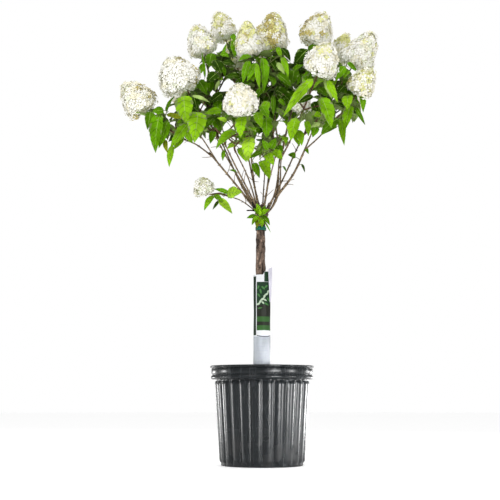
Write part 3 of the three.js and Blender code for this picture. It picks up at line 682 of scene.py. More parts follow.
def leaf_places(leaves, along, across, lift=0.0):
    """Places on the skins of all the leaves: share along the midrib, share across, lift off."""
    turn = leaves["droop"] * along
    reach = leaves["length"] / leaves["droop"]
    half = leaves["width"] / 2 * leaf_outline(along)
    wide = np.abs(across)
    vein = (along - VEIN_LEAN * wide) * VEIN_PAIRS
    quilt = 0.034 * leaves["width"] * (np.abs(np.sin(math.pi * vein)) - 0.6)
    quilt = quilt * (1 - wide ** 4) * np.minimum(1, wide * 4)
    swing = 2 * math.pi * (2.3 * along + leaves["phase"]) + np.sign(across)
    wave = leaves["wave"] * np.sin(swing) * wide ** 2
    rise = half * (wide * np.sin(leaves["fold"]) - leaves["curl"] * wide ** 2 + wave) + quilt + lift
    sideways = half * across * np.cos(leaves["fold"])
    roll = leaves["twist"] * along
    beside = sideways * np.cos(roll) - rise * np.sin(roll)
    above = sideways * np.sin(roll) + rise * np.cos(roll)
    ahead = reach * np.sin(turn) + above * np.sin(turn)
    over = above * np.cos(turn) - reach * (1 - np.cos(turn))
    return (leaves["root"] + leaves["forward"] * ahead[..., None] + leaves["face"] * over[..., None]
            + leaves["side"] * beside[..., None])


def leaning(share, across):
    """How far along the blade a side line is that leaves the midrib at a share of its length."""
    room = np.clip(4 * np.minimum(share, 1 - share), 0, 1)
    return share + VEIN_LEAN * np.abs(across) * room


def leaf_grid():
    """Rows of corners that lean forward with the side veins: their numbers and places."""
    row, across = np.meshgrid(np.arange(LEAF_ROWS + 1), np.linspace(-1, 1, LEAF_COLUMNS + 1), indexing="ij")
    along = leaning(row / LEAF_ROWS, across)
    return row.ravel(), along.ravel(), across.ravel()


def blade_skin(heap, leaves, under):
    """The upper skins of the leaves, or the under ones, which meet the upper at the margin."""
    row, along, across = leaf_grid()
    toothed = across * np.where(np.abs(across) > 0.99, 1 + 0.035 * (-1.0) ** row, 1)
    inner = np.sin(math.pi * along) * (1 - across ** 2)
    lift = -SKIN_GAP * inner[None] if under else 0.0
    places = leaf_places(leaves, along[None], toothed[None], lift)
    faces = grid_faces(LEAF_ROWS + 1, LEAF_COLUMNS + 1)
    heap.add_many(places, [faces if under else faces[:, ::-1]])


def vein_band(heap, leaves, low, high, lift, order=1):
    """A narrow band on all the blades between two lines of (along, across)."""
    places = np.concatenate([leaf_places(leaves, along[None], across[None], lift)
                             for along, across in (low, high)], axis=1)
    count = len(low[0])
    heap.add_many(places, [[[k, k + 1, k + count + 1, k + count][::order] for k in range(count - 1)]])


def midribs(heap, leaves):
    along = np.linspace(0.0, 0.95, 10)
    width = 0.042 * (1 - along) + 0.008
    vein_band(heap, leaves, (along, -width), (along, width), RIB_LIFT)


def side_veins(heap, leaves):
    """Side veins, which run along the grid's rows and narrow towards the margin."""
    wide = np.linspace(0, 1, LEAF_COLUMNS // 2 + 1)
    thick = 0.0095 * (1 - 0.7 * wide)
    for pair in range(1, VEIN_PAIRS):
        centre = leaning(pair / VEIN_PAIRS, wide)
        for hand in (-1, 1):
            across = hand * wide
            vein_band(heap, leaves, (centre - thick, across), (centre + thick, across), VEIN_LIFT, hand)


def seen_from_front(points):
    """Where the points stand in the front view, in the upright plane through the trunk."""
    share = -EYE[1] / (points[:, 1:2] - EYE[1])
    return EYE[[0, 2]] + (points[:, [0, 2]] - EYE[[0, 2]]) * share


class Room:
    """Keeps the leaves in their own mass's space, in the part's reach and clear of what stands.

    From the front they also leave the openings, the flower heads and the seen leaves in view.
    """

    def __init__(self, spacing):
        _, twigs, heads, _ = crown()
        self.spacing = spacing
        self.heads = heads
        in_view = [head for head in heads if head.middle[1] < HEADS_IN_VIEW]
        self.views = [(seen_from_front(head.middle[None])[0], head) for head in in_view]
        self.seen = np.empty((0, 3))
        self.limbs = np.vstack([curve.at(np.linspace(0, 1, 40)) for curve in bough_curves().values()])
        self.own = {mass: np.vstack([t.samples for t in twigs if t.mass == mass]) for mass in MASSES}
        self.low, self.high = (np.array(corner) / MM for corner in CAD_BOX)
        self.taken = np.empty((0, 3))

    @staticmethod
    def nearest(points, others):
        return np.linalg.norm(points[:, None] - others[None], axis=2).min(1)

    def shows(self, points):
        """Whether the points hide nothing that has to stay in view."""
        places = seen_from_front(points)
        x, z = places.T
        top, foot = (np.interp(x, *np.transpose(edge)) for edge in (LEAFY_TOP, LEAFY_FOOT))
        if np.any(z > top) or np.any(z < foot):
            return False
        for middle_x, middle_z, wide, tall in OPENINGS:
            if np.any(((x - middle_x) / wide) ** 2 + ((z - middle_z) / tall) ** 2 < 1):
                return False
        for middle, head in self.views:
            away = np.linalg.norm(places - middle, axis=1)
            if np.any((away < HEAD_ROOM * head.width) & (points[:, 1] < head.middle[1])):
                return False
        middle = places.mean(axis=0)
        reach = np.abs(places - middle).max() + SEEN_ROOM
        close = self.seen[np.abs(self.seen[:, :2] - middle).max(axis=1) < reach]
        away = np.linalg.norm(places[:, None] - close[None, :, :2], axis=2)
        return not np.any((away < SEEN_ROOM) & (points[:, 1:2] < close[None, :, 2] + SEEN_DEPTH))

    def show(self, points):
        """Keeps the view of these points free."""
        self.seen = np.vstack([self.seen, np.column_stack([seen_from_front(points), points[:, 1]])])
        self.keep(points)

    def takes(self, mass, points, spacing=None):
        tip = points[-1:]
        if np.any(points < self.low) or np.any(points > self.high):
            return False
        if not self.shows(points):
            return False
        own = self.nearest(tip, self.own[mass])[0] - OWN_SPACE
        if any(self.nearest(tip, samples)[0] < own for other, samples in self.own.items() if other != mass):
            return False
        if any(head.holds(points).any() for head in self.heads):
            return False
        if self.nearest(points[1:], self.limbs).min() < LIMB_ROOM:
            return False
        room = self.spacing if spacing is None else spacing
        middle = points.mean(axis=0)
        reach = np.abs(points - middle).max() + room
        close = self.taken[np.abs(self.taken - middle).max(axis=1) < reach]
        return not (len(close) and self.nearest(points, close).min() < room)

    def keep(self, points):
        self.taken = np.vstack([self.taken, points])


def leaf_samples(leaf):
    """Points spread over one leaf's blade, its tip last."""
    lone = Leaves()
    lone.add(*leaf)
    along = np.array([0.12, 0.3, 0.3, 0.3, 0.48, 0.48, 0.48, 0.48, 0.66, 0.66, 0.66, 0.84, 1.0])
    across = np.array([0.0, 0.0, -0.75, 0.75, -0.9, -0.3, 0.3, 0.9, 0.0, -0.75, 0.75, 0.0, 0.0])
    return leaf_places(lone.chosen(), along[None], across[None])[0]


# Tones of the leaves from dark to light: lit and shaded copies of one green, painted shade on the deep ones
# and painted light on the bright ones.
RULE_TONES = ("deep", "shaded", "middle", "fresh", "bright", "young")


def leaf_tone(twig, place, draws):
    """Outer leaves are paler and inner ones deeper, partly for the age of the shoots and partly as painted
    light outside and painted shade inside the crown; the leaves of a spray are alike.

    The front's own bright leaves are in the table, so what fills in behind them is painted darker, as
    shade.
    """
    outward = np.linalg.norm((place - CROWN_MIDDLE) / CROWN_REACH)
    score = 0.42 * min(1.0, outward) + 0.42 * twig.tone + 0.3 * draws() - 0.08
    if place[1] < FRONT:
        score *= FRONT_SHADE
    return RULE_TONES[int(np.clip(score * len(RULE_TONES), 0, len(RULE_TONES) - 1))]


def leaf_sizes(draws, length, share):
    return {
        "length": length, "width": length * share, "droop": draws(0.35, 1.15), "fold": draws(0.15, 0.65),
        "curl": draws(0.05, 0.34), "twist": draws(-0.5, 0.5), "wave": draws(0.02, 0.1), "phase": draws(),
    }


def leaf_nodes(twig, draws):
    """Opposite pairs, each pair turned a quarter round the twig from the last."""
    length = twig.curve.length
    first = 0.2 * length
    last = length if twig.leafy else length - HEAD_STALK
    count = max(1, round((last - first) / INTERNODE))
    turn = draws() * math.pi
    for node in range(count + 1):
        share = min(0.985, (first + (last - first) * node / count) / length)
        forward = twig.curve.along(share)
        yield twig.curve.at(share), forward, unit(np.cross(forward, SIDEWAYS)), turn
        turn += math.pi / 2


def leaf_try(place, forward, across, turn, length, draws):
    """One try at a leaf: it leaves its node sideways and forwards, and droops."""
    outward = turned(across, forward, turn + (draws() - 0.5) * 1.2)
    direction = outward + 0.42 * forward
    direction[2] -= 0.1 + 0.7 * draws()
    direction = unit(direction)
    size = length * (1 + 0.22 * (2 * draws() - 1))
    upward = np.array([0, 0, 1]) - direction * direction[2]
    upward = turned(upward, direction, (draws() - 0.5) * 0.9)
    stalk = unit(outward + 0.5 * forward) * size * 0.11
    return place + stalk, direction, upward, size


def hung_leaf(row, draws):
    """A leaf that hangs from foot to tip as a table's row tells, with its face towards the front."""
    x, z, tip_x, tip_z, depth, width, tone = row
    chord = np.array([tip_x - x, draws(-22, -4), tip_z - z]) * SEEN_LONGER
    droop = draws(0.45, 1.0)
    toward_eye = np.array([draws(-0.4, 0.4), -1, 0.3])
    if tone == "pale":
        toward_eye, droop = -toward_eye, -droop
    reach = np.linalg.norm(chord)
    ahead = chord / reach
    face = unit(toward_eye - ahead * np.dot(toward_eye, ahead))
    forward = ahead * math.cos(droop / 2) + face * math.sin(droop / 2)
    upward = face * math.cos(droop / 2) - ahead * math.sin(droop / 2)
    sizes = leaf_sizes(draws, reach * droop / (2 * math.sin(droop / 2)), 1)
    sizes.update(width=width * SEEN_WIDER, droop=droop, twist=draws(-0.3, 0.3), fold=draws(0.3, 0.7))
    return np.array([x, depth, z], float), forward, upward, tone, sizes


def seen_leaves(room, leaves, stalks, sprigs):
    """The leaves of the table, each hung from foot to tip and joined to the nearest wood below it."""
    _, twigs, _, _ = crown()
    draws = Draws(613)
    for carrier, rows in SEEN_LEAVES.items():
        curves = [twig.curve for twig in twigs if twig.mass == carrier] or [bough_curves()[carrier]]
        wood = np.vstack([curve.at(np.linspace(0.05, 1, 40)) for curve in curves])
        for row in rows:
            leaf = hung_leaf(row, draws)
            root, forward = leaf[:2]
            leaves.add(*leaf)
            room.show(leaf_samples(leaf))
            away = np.linalg.norm(wood - root, axis=1) + 0.8 * np.maximum(0, wood[:, 2] - root[2] + 8)
            start = wood[np.argmin(away)]
            if np.linalg.norm(root - start) < LONG_GAP:
                stalks.append((start, root, forward))
                continue
            knee = root - forward * KNEE + np.array([0, 0, -2.0])
            middle = (start + knee) / 2 + np.array([*draws.array(2, -4, 4), 3.0])
            sprigs.append(Curve([start, middle, knee]))
            stalks.append((knee, root, forward))


@functools.cache
def foliage(length, width_share, spacing):
    """Every leaf of the crown, the stalk of each, and the side twigs that carry some of them."""
    _, twigs, _, draws_of = crown()
    leaves, stalks, sprigs = Leaves(), [], []
    room = Room(spacing)
    seen_leaves(room, leaves, stalks, sprigs)

    def pair(twig, place, forward, across, turn, scales, draws):
        """Two opposite leaves at a node, each where one of its tries finds room."""
        for side in (turn, turn + math.pi):
            size = MASSES[twig.mass][1] * draws(*scales) * length
            for _ in range(LEAF_TRIES):
                root, direction, upward, reach = leaf_try(place, forward, across, side, size, draws)
                sizes = leaf_sizes(draws, reach, width_share * draws(0.9, 1.12))
                leaf = root, direction, upward, leaf_tone(twig, root, draws), sizes
                points = leaf_samples(leaf)
                if room.takes(twig.mass, points):
                    room.keep(points)
                    leaves.add(*leaf)
                    stalks.append((place, root, direction))
                    break

    for twig in twigs:
        draws = draws_of[twig.mass]
        scale = MASSES[twig.mass][1]
        for place, forward, across, turn in leaf_nodes(twig, draws):
            pair(twig, place, forward, across, turn, TWIG_LEAF, draws)
            for hand in (-1, 1):
                outward = turned(across, forward, turn + hand * math.pi / 2) + 0.9 * forward
                outward = unit(outward + np.array([0, 0, 0.35]))
                end = place + outward * draws(*SPRIG_LENGTH) * scale
                if not room.takes(twig.mass, np.array([place + outward * 15, end]), SPRIG_ROOM):
                    continue
                middle = (place + end) / 2 + np.array([*draws.array(2, -3, 3), 1.5])
                sprig = Curve([place, middle, end])
                before = len(leaves.rows)
                for share, quarter in ((0.62, 0.0), (0.97, math.pi / 2)):
                    ahead = sprig.along(share)
                    beside = unit(np.cross(ahead, SIDEWAYS))
                    pair(twig, sprig.at(share), ahead, beside, turn + quarter, SPRIG_LEAF, draws)
                if len(leaves.rows) > before:
                    sprigs.append(sprig)
    return leaves, stalks, sprigs


# Shaders


PETAL_GLOW = 0.07
SCUFF = (0.07, 0.076, 0.08)
DUST = (0.08, 0.072, 0.066)


class Shade:
    """A shader socket that is added and multiplied like a number."""

    def __init__(self, nodes, socket):
        self.nodes = nodes
        self.socket = socket

    def math(self, operation, *values):
        return self.nodes.node("ShaderNodeMath", {"operation": operation}, dict(enumerate(values)))

    def __add__(self, other):
        return self.math("ADD", self, other)

    __radd__ = __add__

    def __sub__(self, other):
        return self.math("SUBTRACT", self, other)

    def __rsub__(self, other):
        return self.math("SUBTRACT", other, self)

    def __mul__(self, other):
        return self.math("MULTIPLY", self, other)

    __rmul__ = __mul__

    def between(self, low, high):
        """0 below low, 1 above high, and a smooth step between them."""
        settings = {"interpolation_type": "SMOOTHSTEP"}
        inputs = {"Value": self, "From Min": low, "From Max": high}
        return self.nodes.node("ShaderNodeMapRange", settings, inputs)


class Nodes:
    """A node tree, of the world or of a material, whose nodes all come from one method."""

    def __init__(self, tree):
        self.tree = tree

    def put(self, socket, value):
        if isinstance(value, Shade):
            self.tree.links.new(value.socket, socket)
        elif socket.type == "RGBA":
            socket.default_value = (*value, 1)
        else:
            socket.default_value = value

    def node(self, kind, settings=None, inputs=None, output=0):
        made = self.tree.nodes.new(kind)
        for name, value in (settings or {}).items():
            setattr(made, name, value)
        for socket, value in (inputs or {}).items():
            self.put(made.inputs[socket], value)
        return Shade(self, made.outputs[output])


class Paint(Nodes):
    """A material on the Principled shader, whose specular level is the same all over."""

    def __init__(self, name, specular=0.5):
        self.material = bpy.data.materials.new(name)
        self.material.use_nodes = True
        super().__init__(self.material.node_tree)
        self.shader = self.tree.nodes["Principled BSDF"]
        self.set("Specular IOR Level", specular)

    def set(self, socket, value):
        self.put(self.shader.inputs[socket], value)

    def mix(self, factor, low, high):
        """One colour where the factor is 0 and another where it is 1."""
        inputs = {0: factor, 6: low, 7: high}
        return self.node("ShaderNodeMix", {"data_type": "RGBA"}, inputs, 2)

    def places(self, stretch=(1, 1, 1)):
        here = self.node("ShaderNodeTexCoord", output="Object")
        return self.node("ShaderNodeVectorMath", {"operation": "MULTIPLY"}, {0: here, 1: stretch})

    def noise(self, scale, detail=3.0, stretch=(1, 1, 1), roughness=0.55):
        inputs = {"Vector": self.places(stretch), "Scale": scale, "Detail": detail, "Roughness": roughness}
        return self.node("ShaderNodeTexNoise", {}, inputs)

    def bump(self, height, strength, distance):
        inputs = {"Strength": strength, "Distance": distance, "Height": height}
        self.set("Normal", self.node("ShaderNodeBump", {}, inputs))


def toned(colour, share):
    """The colour at a share of its lightness, which may be more than 1."""
    return tuple(share * channel for channel in colour)


def leaf_paint(name, colour, roughness):
    paint = Paint(name, 0.03)
    mottle = paint.noise(24, 4).between(0.36, 0.64)
    paint.set("Base Color", paint.mix(mottle, toned(colour, 0.72), toned(colour, 1.18)))
    paint.set("Roughness", roughness + 0.16 * paint.noise(140, 2))
    paint.bump(paint.noise(420, 3), 0.25, 0.0006)
    return paint.material


def petal_paint(name, colour):
    paint = Paint(name, 0.2)
    colour_here = paint.mix(paint.noise(120, 2).between(0.35, 0.7), toned(colour, 0.94), colour)
    paint.set("Base Color", colour_here)
    paint.set("Roughness", 0.62 + 0.12 * paint.noise(200, 2))
    paint.set("Emission Color", colour_here)
    paint.set("Emission Strength", PETAL_GLOW)
    paint.bump(paint.noise(900, 2), 0.15, 0.0003)
    return paint.material


def bark_paint(name, dark, middle, pale, scale):
    paint = Paint(name, 0.2)
    streaks = paint.noise(scale, 6, (1, 1, 0.4), 0.65)
    flakes = paint.noise(scale * 1.3, 5, (1, 1, 0.8))
    spots = paint.noise(scale * 2.8, 2)
    colour = paint.mix(streaks.between(0.4, 0.58), dark, middle)
    colour = paint.mix(flakes.between(0.54, 0.68), colour, pale)
    colour = paint.mix(spots.between(0.6, 0.7) * 0.8, colour, dark)
    paint.set("Base Color", colour)
    paint.set("Roughness", 0.72 + 0.2 * flakes)
    paint.bump(streaks + 0.5 * spots, 0.6, 0.0012)
    return paint.material


def wood_paint(name, colour, dark, pale, scale):
    """Bark whose streaks and flakes are shares of its own colour."""
    return bark_paint(name, toned(colour, dark), colour, toned(colour, pale), scale)


def pot_paint(colour):
    paint = Paint("pot_plastic", 0.25)
    height = paint.node("ShaderNodeSeparateXYZ", {}, {0: paint.places()}, 2)
    scuffs = paint.noise(38, 6, (1, 1, 0.12), 0.6).between(0.5, 0.72)
    dust = paint.noise(16, 5).between(0.45, 0.8) * (1 - height.between(0.0, 0.16))
    colour_here = paint.mix(scuffs * 0.3, colour, SCUFF)
    colour_here = paint.mix(dust * 0.2, colour_here, DUST)
    paint.set("Base Color", colour_here)
    paint.set("Roughness", 0.26 + 0.16 * scuffs + 0.15 * dust)
    paint.bump(paint.noise(300, 3), 0.12, 0.0005)
    return paint.material


def grain_paint(name, dark, pale):
    paint = Paint(name)
    grains = paint.noise(260, 5)
    paint.set("Base Color", paint.mix(grains.between(0.35, 0.65), dark, pale))
    paint.set("Roughness", 0.95 - 0.15 * grains)
    paint.bump(grains, 0.8, 0.001)
    return paint.material


def film_paint(name, colour, shade):
    paint = Paint(name, 0.25)
    # The film is painted darker along its creases by the share shade: painted shade in its folds.
    creases = paint.noise(45, 4, (1, 1, 0.3))
    paint.set("Base Color", paint.mix(creases.between(0.4, 0.7), colour, toned(colour, shade)))
    paint.set("Roughness", 0.3 + 0.2 * creases)
    paint.bump(creases, 0.2, 0.001)
    return paint.material


# Settings


def length_property(name, description, default):
    return bpy.props.FloatProperty(
        name=name, description=description, default=default, min=0.0, unit="LENGTH", subtype="DISTANCE",
    )


def share_property(name, description, default):
    return bpy.props.FloatProperty(
        name=name, description=description, default=default, min=0.0, max=1.0, subtype="FACTOR",
    )


def count_property(name, description, default):
    return bpy.props.IntProperty(name=name, description=description, default=default, min=1)


def colour_property(name, description, default):
    return bpy.props.FloatVectorProperty(
        name=name, description=description, default=default, size=3, min=0.0, max=1.0, subtype="COLOR",
    )


class HydrangeaPotSettings(bpy.types.PropertyGroup):
    """Sizes and colours of the pot and the mix in it."""

    flute_rise: length_property("Flute Rise", "How far the flutes stand out of the grooves", 0.0065)
    flutes: count_property("Flutes", "Flutes round the wall", 24)
    chips: count_property("Chips", "Bark chips lying on the potting mix", 1500)
    plastic: colour_property("Plastic", "Colour of the pot", (0.006, 0.0078, 0.0092))
    mix: colour_property("Mix", "Colour of the potting mix", (0.045, 0.022, 0.018))


class HydrangeaBarkSettings(bpy.types.PropertyGroup):
    """Relief and colours of the trunk, the boughs and the twigs."""

    relief: length_property("Relief", "Depth of the trunk's bark ridges", 0.0016)
    node_step: length_property("Node Step", "Distance between the buds along a bough", 0.034)
    old_bark: colour_property("Old Bark", "Colour of the trunk", (0.18, 0.125, 0.095))
    young_bark: colour_property("Young Bark", "Colour of the boughs", (0.25, 0.18, 0.11))
    green_wood: colour_property("Green Wood", "Colour of this year's twigs", (0.16, 0.2, 0.06))


class HydrangeaLeafSettings(bpy.types.PropertyGroup):
    """Sizes and colours of the leaves."""

    length: length_property("Length", "Length of a full leaf", 0.108)
    width_share: share_property("Width", "Width of a leaf as a share of its length", 0.5)
    spacing: length_property("Spacing", "Least distance between neighbouring blades", 0.0062)
    deep: colour_property("Deep", "Colour of the shaded inner leaves", (0.024, 0.066, 0.0005))
    middle: colour_property("Middle", "Colour of most leaves", (0.118, 0.3, 0.003))
    bright: colour_property("Bright", "Colour of the outer leaves", (0.225, 0.46, 0.008))
    young: colour_property("Young", "Colour of the youngest leaves", (0.42, 0.65, 0.05))
    olive: colour_property("Olive", "Colour of the ageing leaves", (0.21, 0.25, 0.006))
    underside: colour_property("Underside", "Colour of the undersides", (0.34, 0.47, 0.14))
    veins: colour_property("Veins", "Colour of the ribs", (0.30, 0.46, 0.09))


class HydrangeaFlowerSettings(bpy.types.PropertyGroup):
    """Sizes and colours of the flower heads."""

    floret: length_property("Floret", "Width of a floret", 0.0185)
    florets: count_property("Florets", "Florets on a full flower head", 400)
    white: colour_property("White", "Colour of open florets", (0.86, 0.85, 0.79))
    cream: colour_property("Cream", "Colour of older florets", (0.80, 0.765, 0.60))
    lime: colour_property("Lime", "Colour of the florets near the top", (0.70, 0.70, 0.30))
    ochre: colour_property("Ochre", "Colour of the ageing florets", (0.46, 0.39, 0.13))
    green: colour_property("Green", "Colour of the unripe florets", (0.75, 0.78, 0.62))


class HydrangeaLabelSettings(bpy.types.PropertyGroup):
    """Colours of the sleeve label and the tie."""

    film: colour_property("Film", "Colour of the label's film", (0.74, 0.76, 0.78))
    field: colour_property("Field", "Colour of the label's lower field", (0.46, 0.495, 0.54))
    print_green: colour_property("Print Green", "Colour of the label's panel", (0.007, 0.035, 0.012))
    motif: colour_property("Motif", "Colour of the printed blossoms", (0.50, 0.62, 0.46))
    sprays: colour_property("Sprays", "Colour of the printed leaves", (0.06, 0.20, 0.05))
    flap: colour_property("Flap", "Colour of the film's loose corner", (0.66, 0.65, 0.74))
    tie: colour_property("Tie", "Colour of the tie tape", (0.002, 0.135, 0.08))


class HydrangeaStudioSettings(bpy.types.PropertyGroup):
    """The camera and the lights."""

    camera_place: bpy.props.FloatVectorProperty(
        name="Camera Place", description="Where the camera stands", default=(-0.0355, -3.3, 0.19),
        subtype="TRANSLATION", unit="LENGTH",
    )
    camera_tilt: bpy.props.FloatProperty(
        name="Camera Tilt", description="How far the camera looks up", default=math.radians(7.7),
        subtype="ANGLE", unit="ROTATION",
    )
    key_power: bpy.props.FloatProperty(
        name="Key Power", description="Power of the main light", default=40.0, min=0.0, unit="POWER",
    )
    room_light: bpy.props.FloatProperty(
        name="Room Light", description="Strength of the even light all round", default=0.8, min=0.0,
    )
    floor: colour_property("Floor", "Colour of the floor", (0.94, 0.94, 0.94))
    floor_glow: share_property("Floor Glow", "Light that the floor gives by itself", 0.26)
    strip_power: bpy.props.FloatProperty(
        name="Strip Power", description="Power of the narrow lights beside the pot", default=0.27,
        min=0.0, unit="POWER",
    )


# Pot and potting mix


# The wall widens evenly upward, and its flutes stand out of it and fade towards its two ends.
WALL_FOOT_RADIUS = 122
WALL_WIDENS = 16.5
WALL_TOP = 252
WALL_THICK = 4.5
WALL_SPAN = (8, 249.4)
WALL_ROWS = 46
FLUTE_PROUD = 2.5
FLUTE_ROUND = 0.32
FLUTE_SIDES = 18

# Where the flutes start to fade, and over how much height, under the rim and over the foot.
FADE_UP = (236, 13)
FADE_DOWN = (16, 9)


def radius_of_wall(height):
    return WALL_FOOT_RADIUS + WALL_WIDENS * height / WALL_TOP


POT_FOOT = [(0.01, 0.6), (96, 0.6), (98, 0), (118, 0), (120.8, 1.4)]
POT_RIM = [
    (139, 250), (148.2, 250.4), (150.2, 252.4), (150.8, 256), (150, 259.4), (147.4, 261.6),
    (146.2, 263.2), (146.6, 264.8), (148.8, 266), (149.3, 268), (149.5, 278.6), (149.1, 280.4),
    (147.6, 281.4), (147.8, 282.6), (151.4, 283.2), (152.9, 284.8), (153.1, 287), (152.4, 289),
    (150.6, 290), (148.6, 289.6), (147.2, 288), (146.4, 284), (145.2, 268), (143.4, 262), (137, 255),
    (134.2, 250),
]
POT_INSIDE = [(radius_of_wall(z) - WALL_THICK, z) for z in (236, 160, 80, 8)] + [(112, 5), (0.01, 5)]


def build_pot(settings):
    """The pot's closed outline turned round, with the flutes pushed out of its wall."""
    heap = Heap()
    wall = [(radius_of_wall(z), z) for z in np.linspace(*WALL_SPAN, WALL_ROWS)]
    rise = settings.flute_rise / MM
    is_wall = np.zeros(len(POT_FOOT) + len(wall) + len(POT_RIM) + len(POT_INSIDE), bool)
    is_wall[len(POT_FOOT):len(POT_FOOT) + len(wall)] = True

    def flute(radius, height, angles):
        turn = (angles / (2 * math.pi) * settings.flutes) % 1 - 0.5
        over = np.maximum(0, height - FADE_UP[0]) / FADE_UP[1]
        under = np.maximum(0, FADE_DOWN[0] - height) / FADE_DOWN[1]
        fade = np.clip(1 - over ** 2, 0, 1) * np.clip(1 - under ** 2, 0, 1)
        rib = (0.5 + 0.5 * np.cos(2 * math.pi * turn)) ** FLUTE_ROUND * fade
        return np.where(is_wall[:, None], radius + FLUTE_PROUD - rise * (1 - rib), radius), height

    lathe(heap, [*POT_FOOT, *wall, *POT_RIM, *POT_INSIDE], settings.flutes * FLUTE_SIDES, flute)
    heap.piece("fluted_pot", pot_paint(settings.plastic), "pot_plastic", ["pot"])


# The mix is flat in its middle, and its edge is lower: radii and drop. Chips leave the trunk free.
MIX_FLAT = 96
MIX_EDGE = 135
MIX_DROP = 6
MIX_SIDE = [(0.01, 6), (116, 6), (133, 246)]
MIX_LUMPS = 3.2
LUMP_SCALE = 0.055
CHIPS_REACH = 132
CHIPS_START = 26
CHIP_SHAPE = (1, 0.6, 0.32)
CHIP_CORNERS = np.array([[1, 0, 0], [-1, 0, 0], [0, 1, 0], [0, -1, 0], [0, 0, 1], [0, 0, -1.0]])
CHIP_FACES = [[0, 2, 4], [2, 1, 4], [1, 3, 4], [3, 0, 4], [2, 0, 5], [1, 2, 5], [3, 1, 5], [0, 3, 5]]


def mix_drop(radius):
    """How far the mix lies under its flat middle."""
    return MIX_DROP * max(0, (radius - MIX_FLAT) / (MIX_EDGE - MIX_FLAT))


def chip(sizes, draws):
    """The corners of one chip lying on the mix, or nothing where it would lie at the trunk."""
    away, angle = CHIPS_REACH * math.sqrt(draws()), draws(0, 2 * math.pi)
    if away < CHIPS_START:
        return None
    size = draws.array(3, *sizes) * CHIP_SHAPE
    spin = draws(0, 6.28)
    turn = np.array(Matrix.Rotation(spin, 3, Vector((*draws.array(2, -0.4, 0.4), 1))))
    corners = (CHIP_CORNERS * size * draws.array(6, 0.75, 1.2)[:, None]) @ turn.T
    height = SOIL_LEVEL + 0.6 - mix_drop(away) + draws(0, 1.6)
    return np.array([away * math.sin(angle), -away * math.cos(angle), height]) + corners


def build_mix(settings):
    """The lumpy top of the mix, and the bark chips and perlite that lie on it."""
    heap = Heap()
    rings = [*np.linspace(MIX_EDGE, 100, 10), *np.linspace(MIX_FLAT, 0.01, 26)]
    top = [(radius, SOIL_LEVEL - mix_drop(radius)) for radius in rings]

    def lumps(radius, height, angles):
        x, y = radius * np.sin(angles), -radius * np.cos(angles)
        rough = [noise.fractal(Vector((a * LUMP_SCALE, b * LUMP_SCALE, 3)), 1, 2, 4)
                 for a, b in zip(x.ravel(), y.ravel())]
        return radius, height + np.where(height > 250, MIX_LUMPS * np.reshape(rough, x.shape), 0)

    lathe(heap, [*MIX_SIDE, *top], 90, lumps)
    mix = settings.mix
    heap.piece("potting_mix_top", grain_paint("potting_mix", toned(mix, 0.5), toned(mix, 1.7)),
               "potting_mix", ["potting_mix"])
    kinds = {
        "chips_dark": (0.52, (2, 7), toned(mix, 0.55), toned(mix, 1.1)),
        "chips_red": (0.40, (2, 8), toned(mix, 1.3), (0.13, 0.055, 0.035)),
        "perlite": (0.08, (1.5, 3.4), (0.62, 0.60, 0.56), (0.85, 0.84, 0.80)),
    }
    draws = Draws(71)
    for name, (share, sizes, dark, pale) in kinds.items():
        tries = [chip(sizes, draws) for _ in range(int(settings.chips * share))]
        heap = Heap()
        heap.add_many(np.array([corners for corners in tries if corners is not None]), [CHIP_FACES])
        heap.piece(name, grain_paint(name, dark, pale), "potting_mix", smooth=False)


# Trunk, boughs and twigs


# Sawn stubs at the knuckle, grey and dead: points of the axis, radius at foot and tip.
STUBS = [
    ([[10, -6, 752], [18, -14, 766], [21, -18, 775]], 3.4, 2.8),
    ([[6, 10, 750], [10, 22, 764], [11, 26, 770]], 4.0, 3.2),
]
DEAD_STUBS = [
    ([[-6, -14, 748], [-26, -20, 753], [-45, -22, 753]], 2.4, 1.6),
    ([[-12, -14, 752], [-20, -22, 765], [-25, -26, 779]], 6.8, 6.2),
]

# Knots on the trunk: height and how far they stand out. Knobs roughen the knuckle.
KNOTS = [(582, 1.5), (640, 0.8), (668, 1.0)]
KNOT_LENGTH = 9
KNOB_DEPTH = 3.4
KNOB_SPREAD = 24
TRUNK_ROWS = 60

# Bark relief: scale of the noise round the limb and along it, share of the depth.
RIDGES = (2.4, 0.016, 1.1)
CRACKS = (6.5, 0.055, 0.8)
GRAIN = (13, 0.12, 0.35)
KNOBS = (1.7, 0.07)

# Boughs thicker than this at the foot are grown together from strands.
STRANDED = 6
STRANDS = 3
SLENDER = 0.86
BUD_SHARE = 0.5
SPUR_SHARE = 0.12

# What the red of a twig keeps of young bark's red, green and blue.
REDDENED = (0.55, 0.40, 0.34)


def bark_noise(angle, length, around, along, seed=0.0):
    """Noise that closes round a limb."""
    return noise.noise(Vector((math.cos(angle) * around + seed, math.sin(angle) * around, length * along)))


def bark_relief(depth, seed, knobs=0.0):
    """Ridges, cracks and grain by length along a limb and angle round it, and knobs at the knuckle."""

    def relief(lengths, angles):
        lumpy = knobs * np.exp(-((lengths + SOIL_LEVEL - KNUCKLE_HEIGHT) / KNOB_SPREAD) ** 2)
        out = np.zeros((len(lengths), len(angles)))
        for i, length in enumerate(lengths):
            for j, angle in enumerate(angles):
                ridge = bark_noise(angle, length, *RIDGES[:2], seed)
                crack = bark_noise(angle, length, *CRACKS[:2], seed)
                grain = bark_noise(angle, length, *GRAIN[:2], seed)
                out[i, j] = depth * (RIDGES[2] * ridge - CRACKS[2] * abs(crack) + GRAIN[2] * grain)
                if lumpy[i] > 0.05 * knobs:
                    out[i, j] += lumpy[i] * bark_noise(angle, length, *KNOBS)
        return out

    return relief


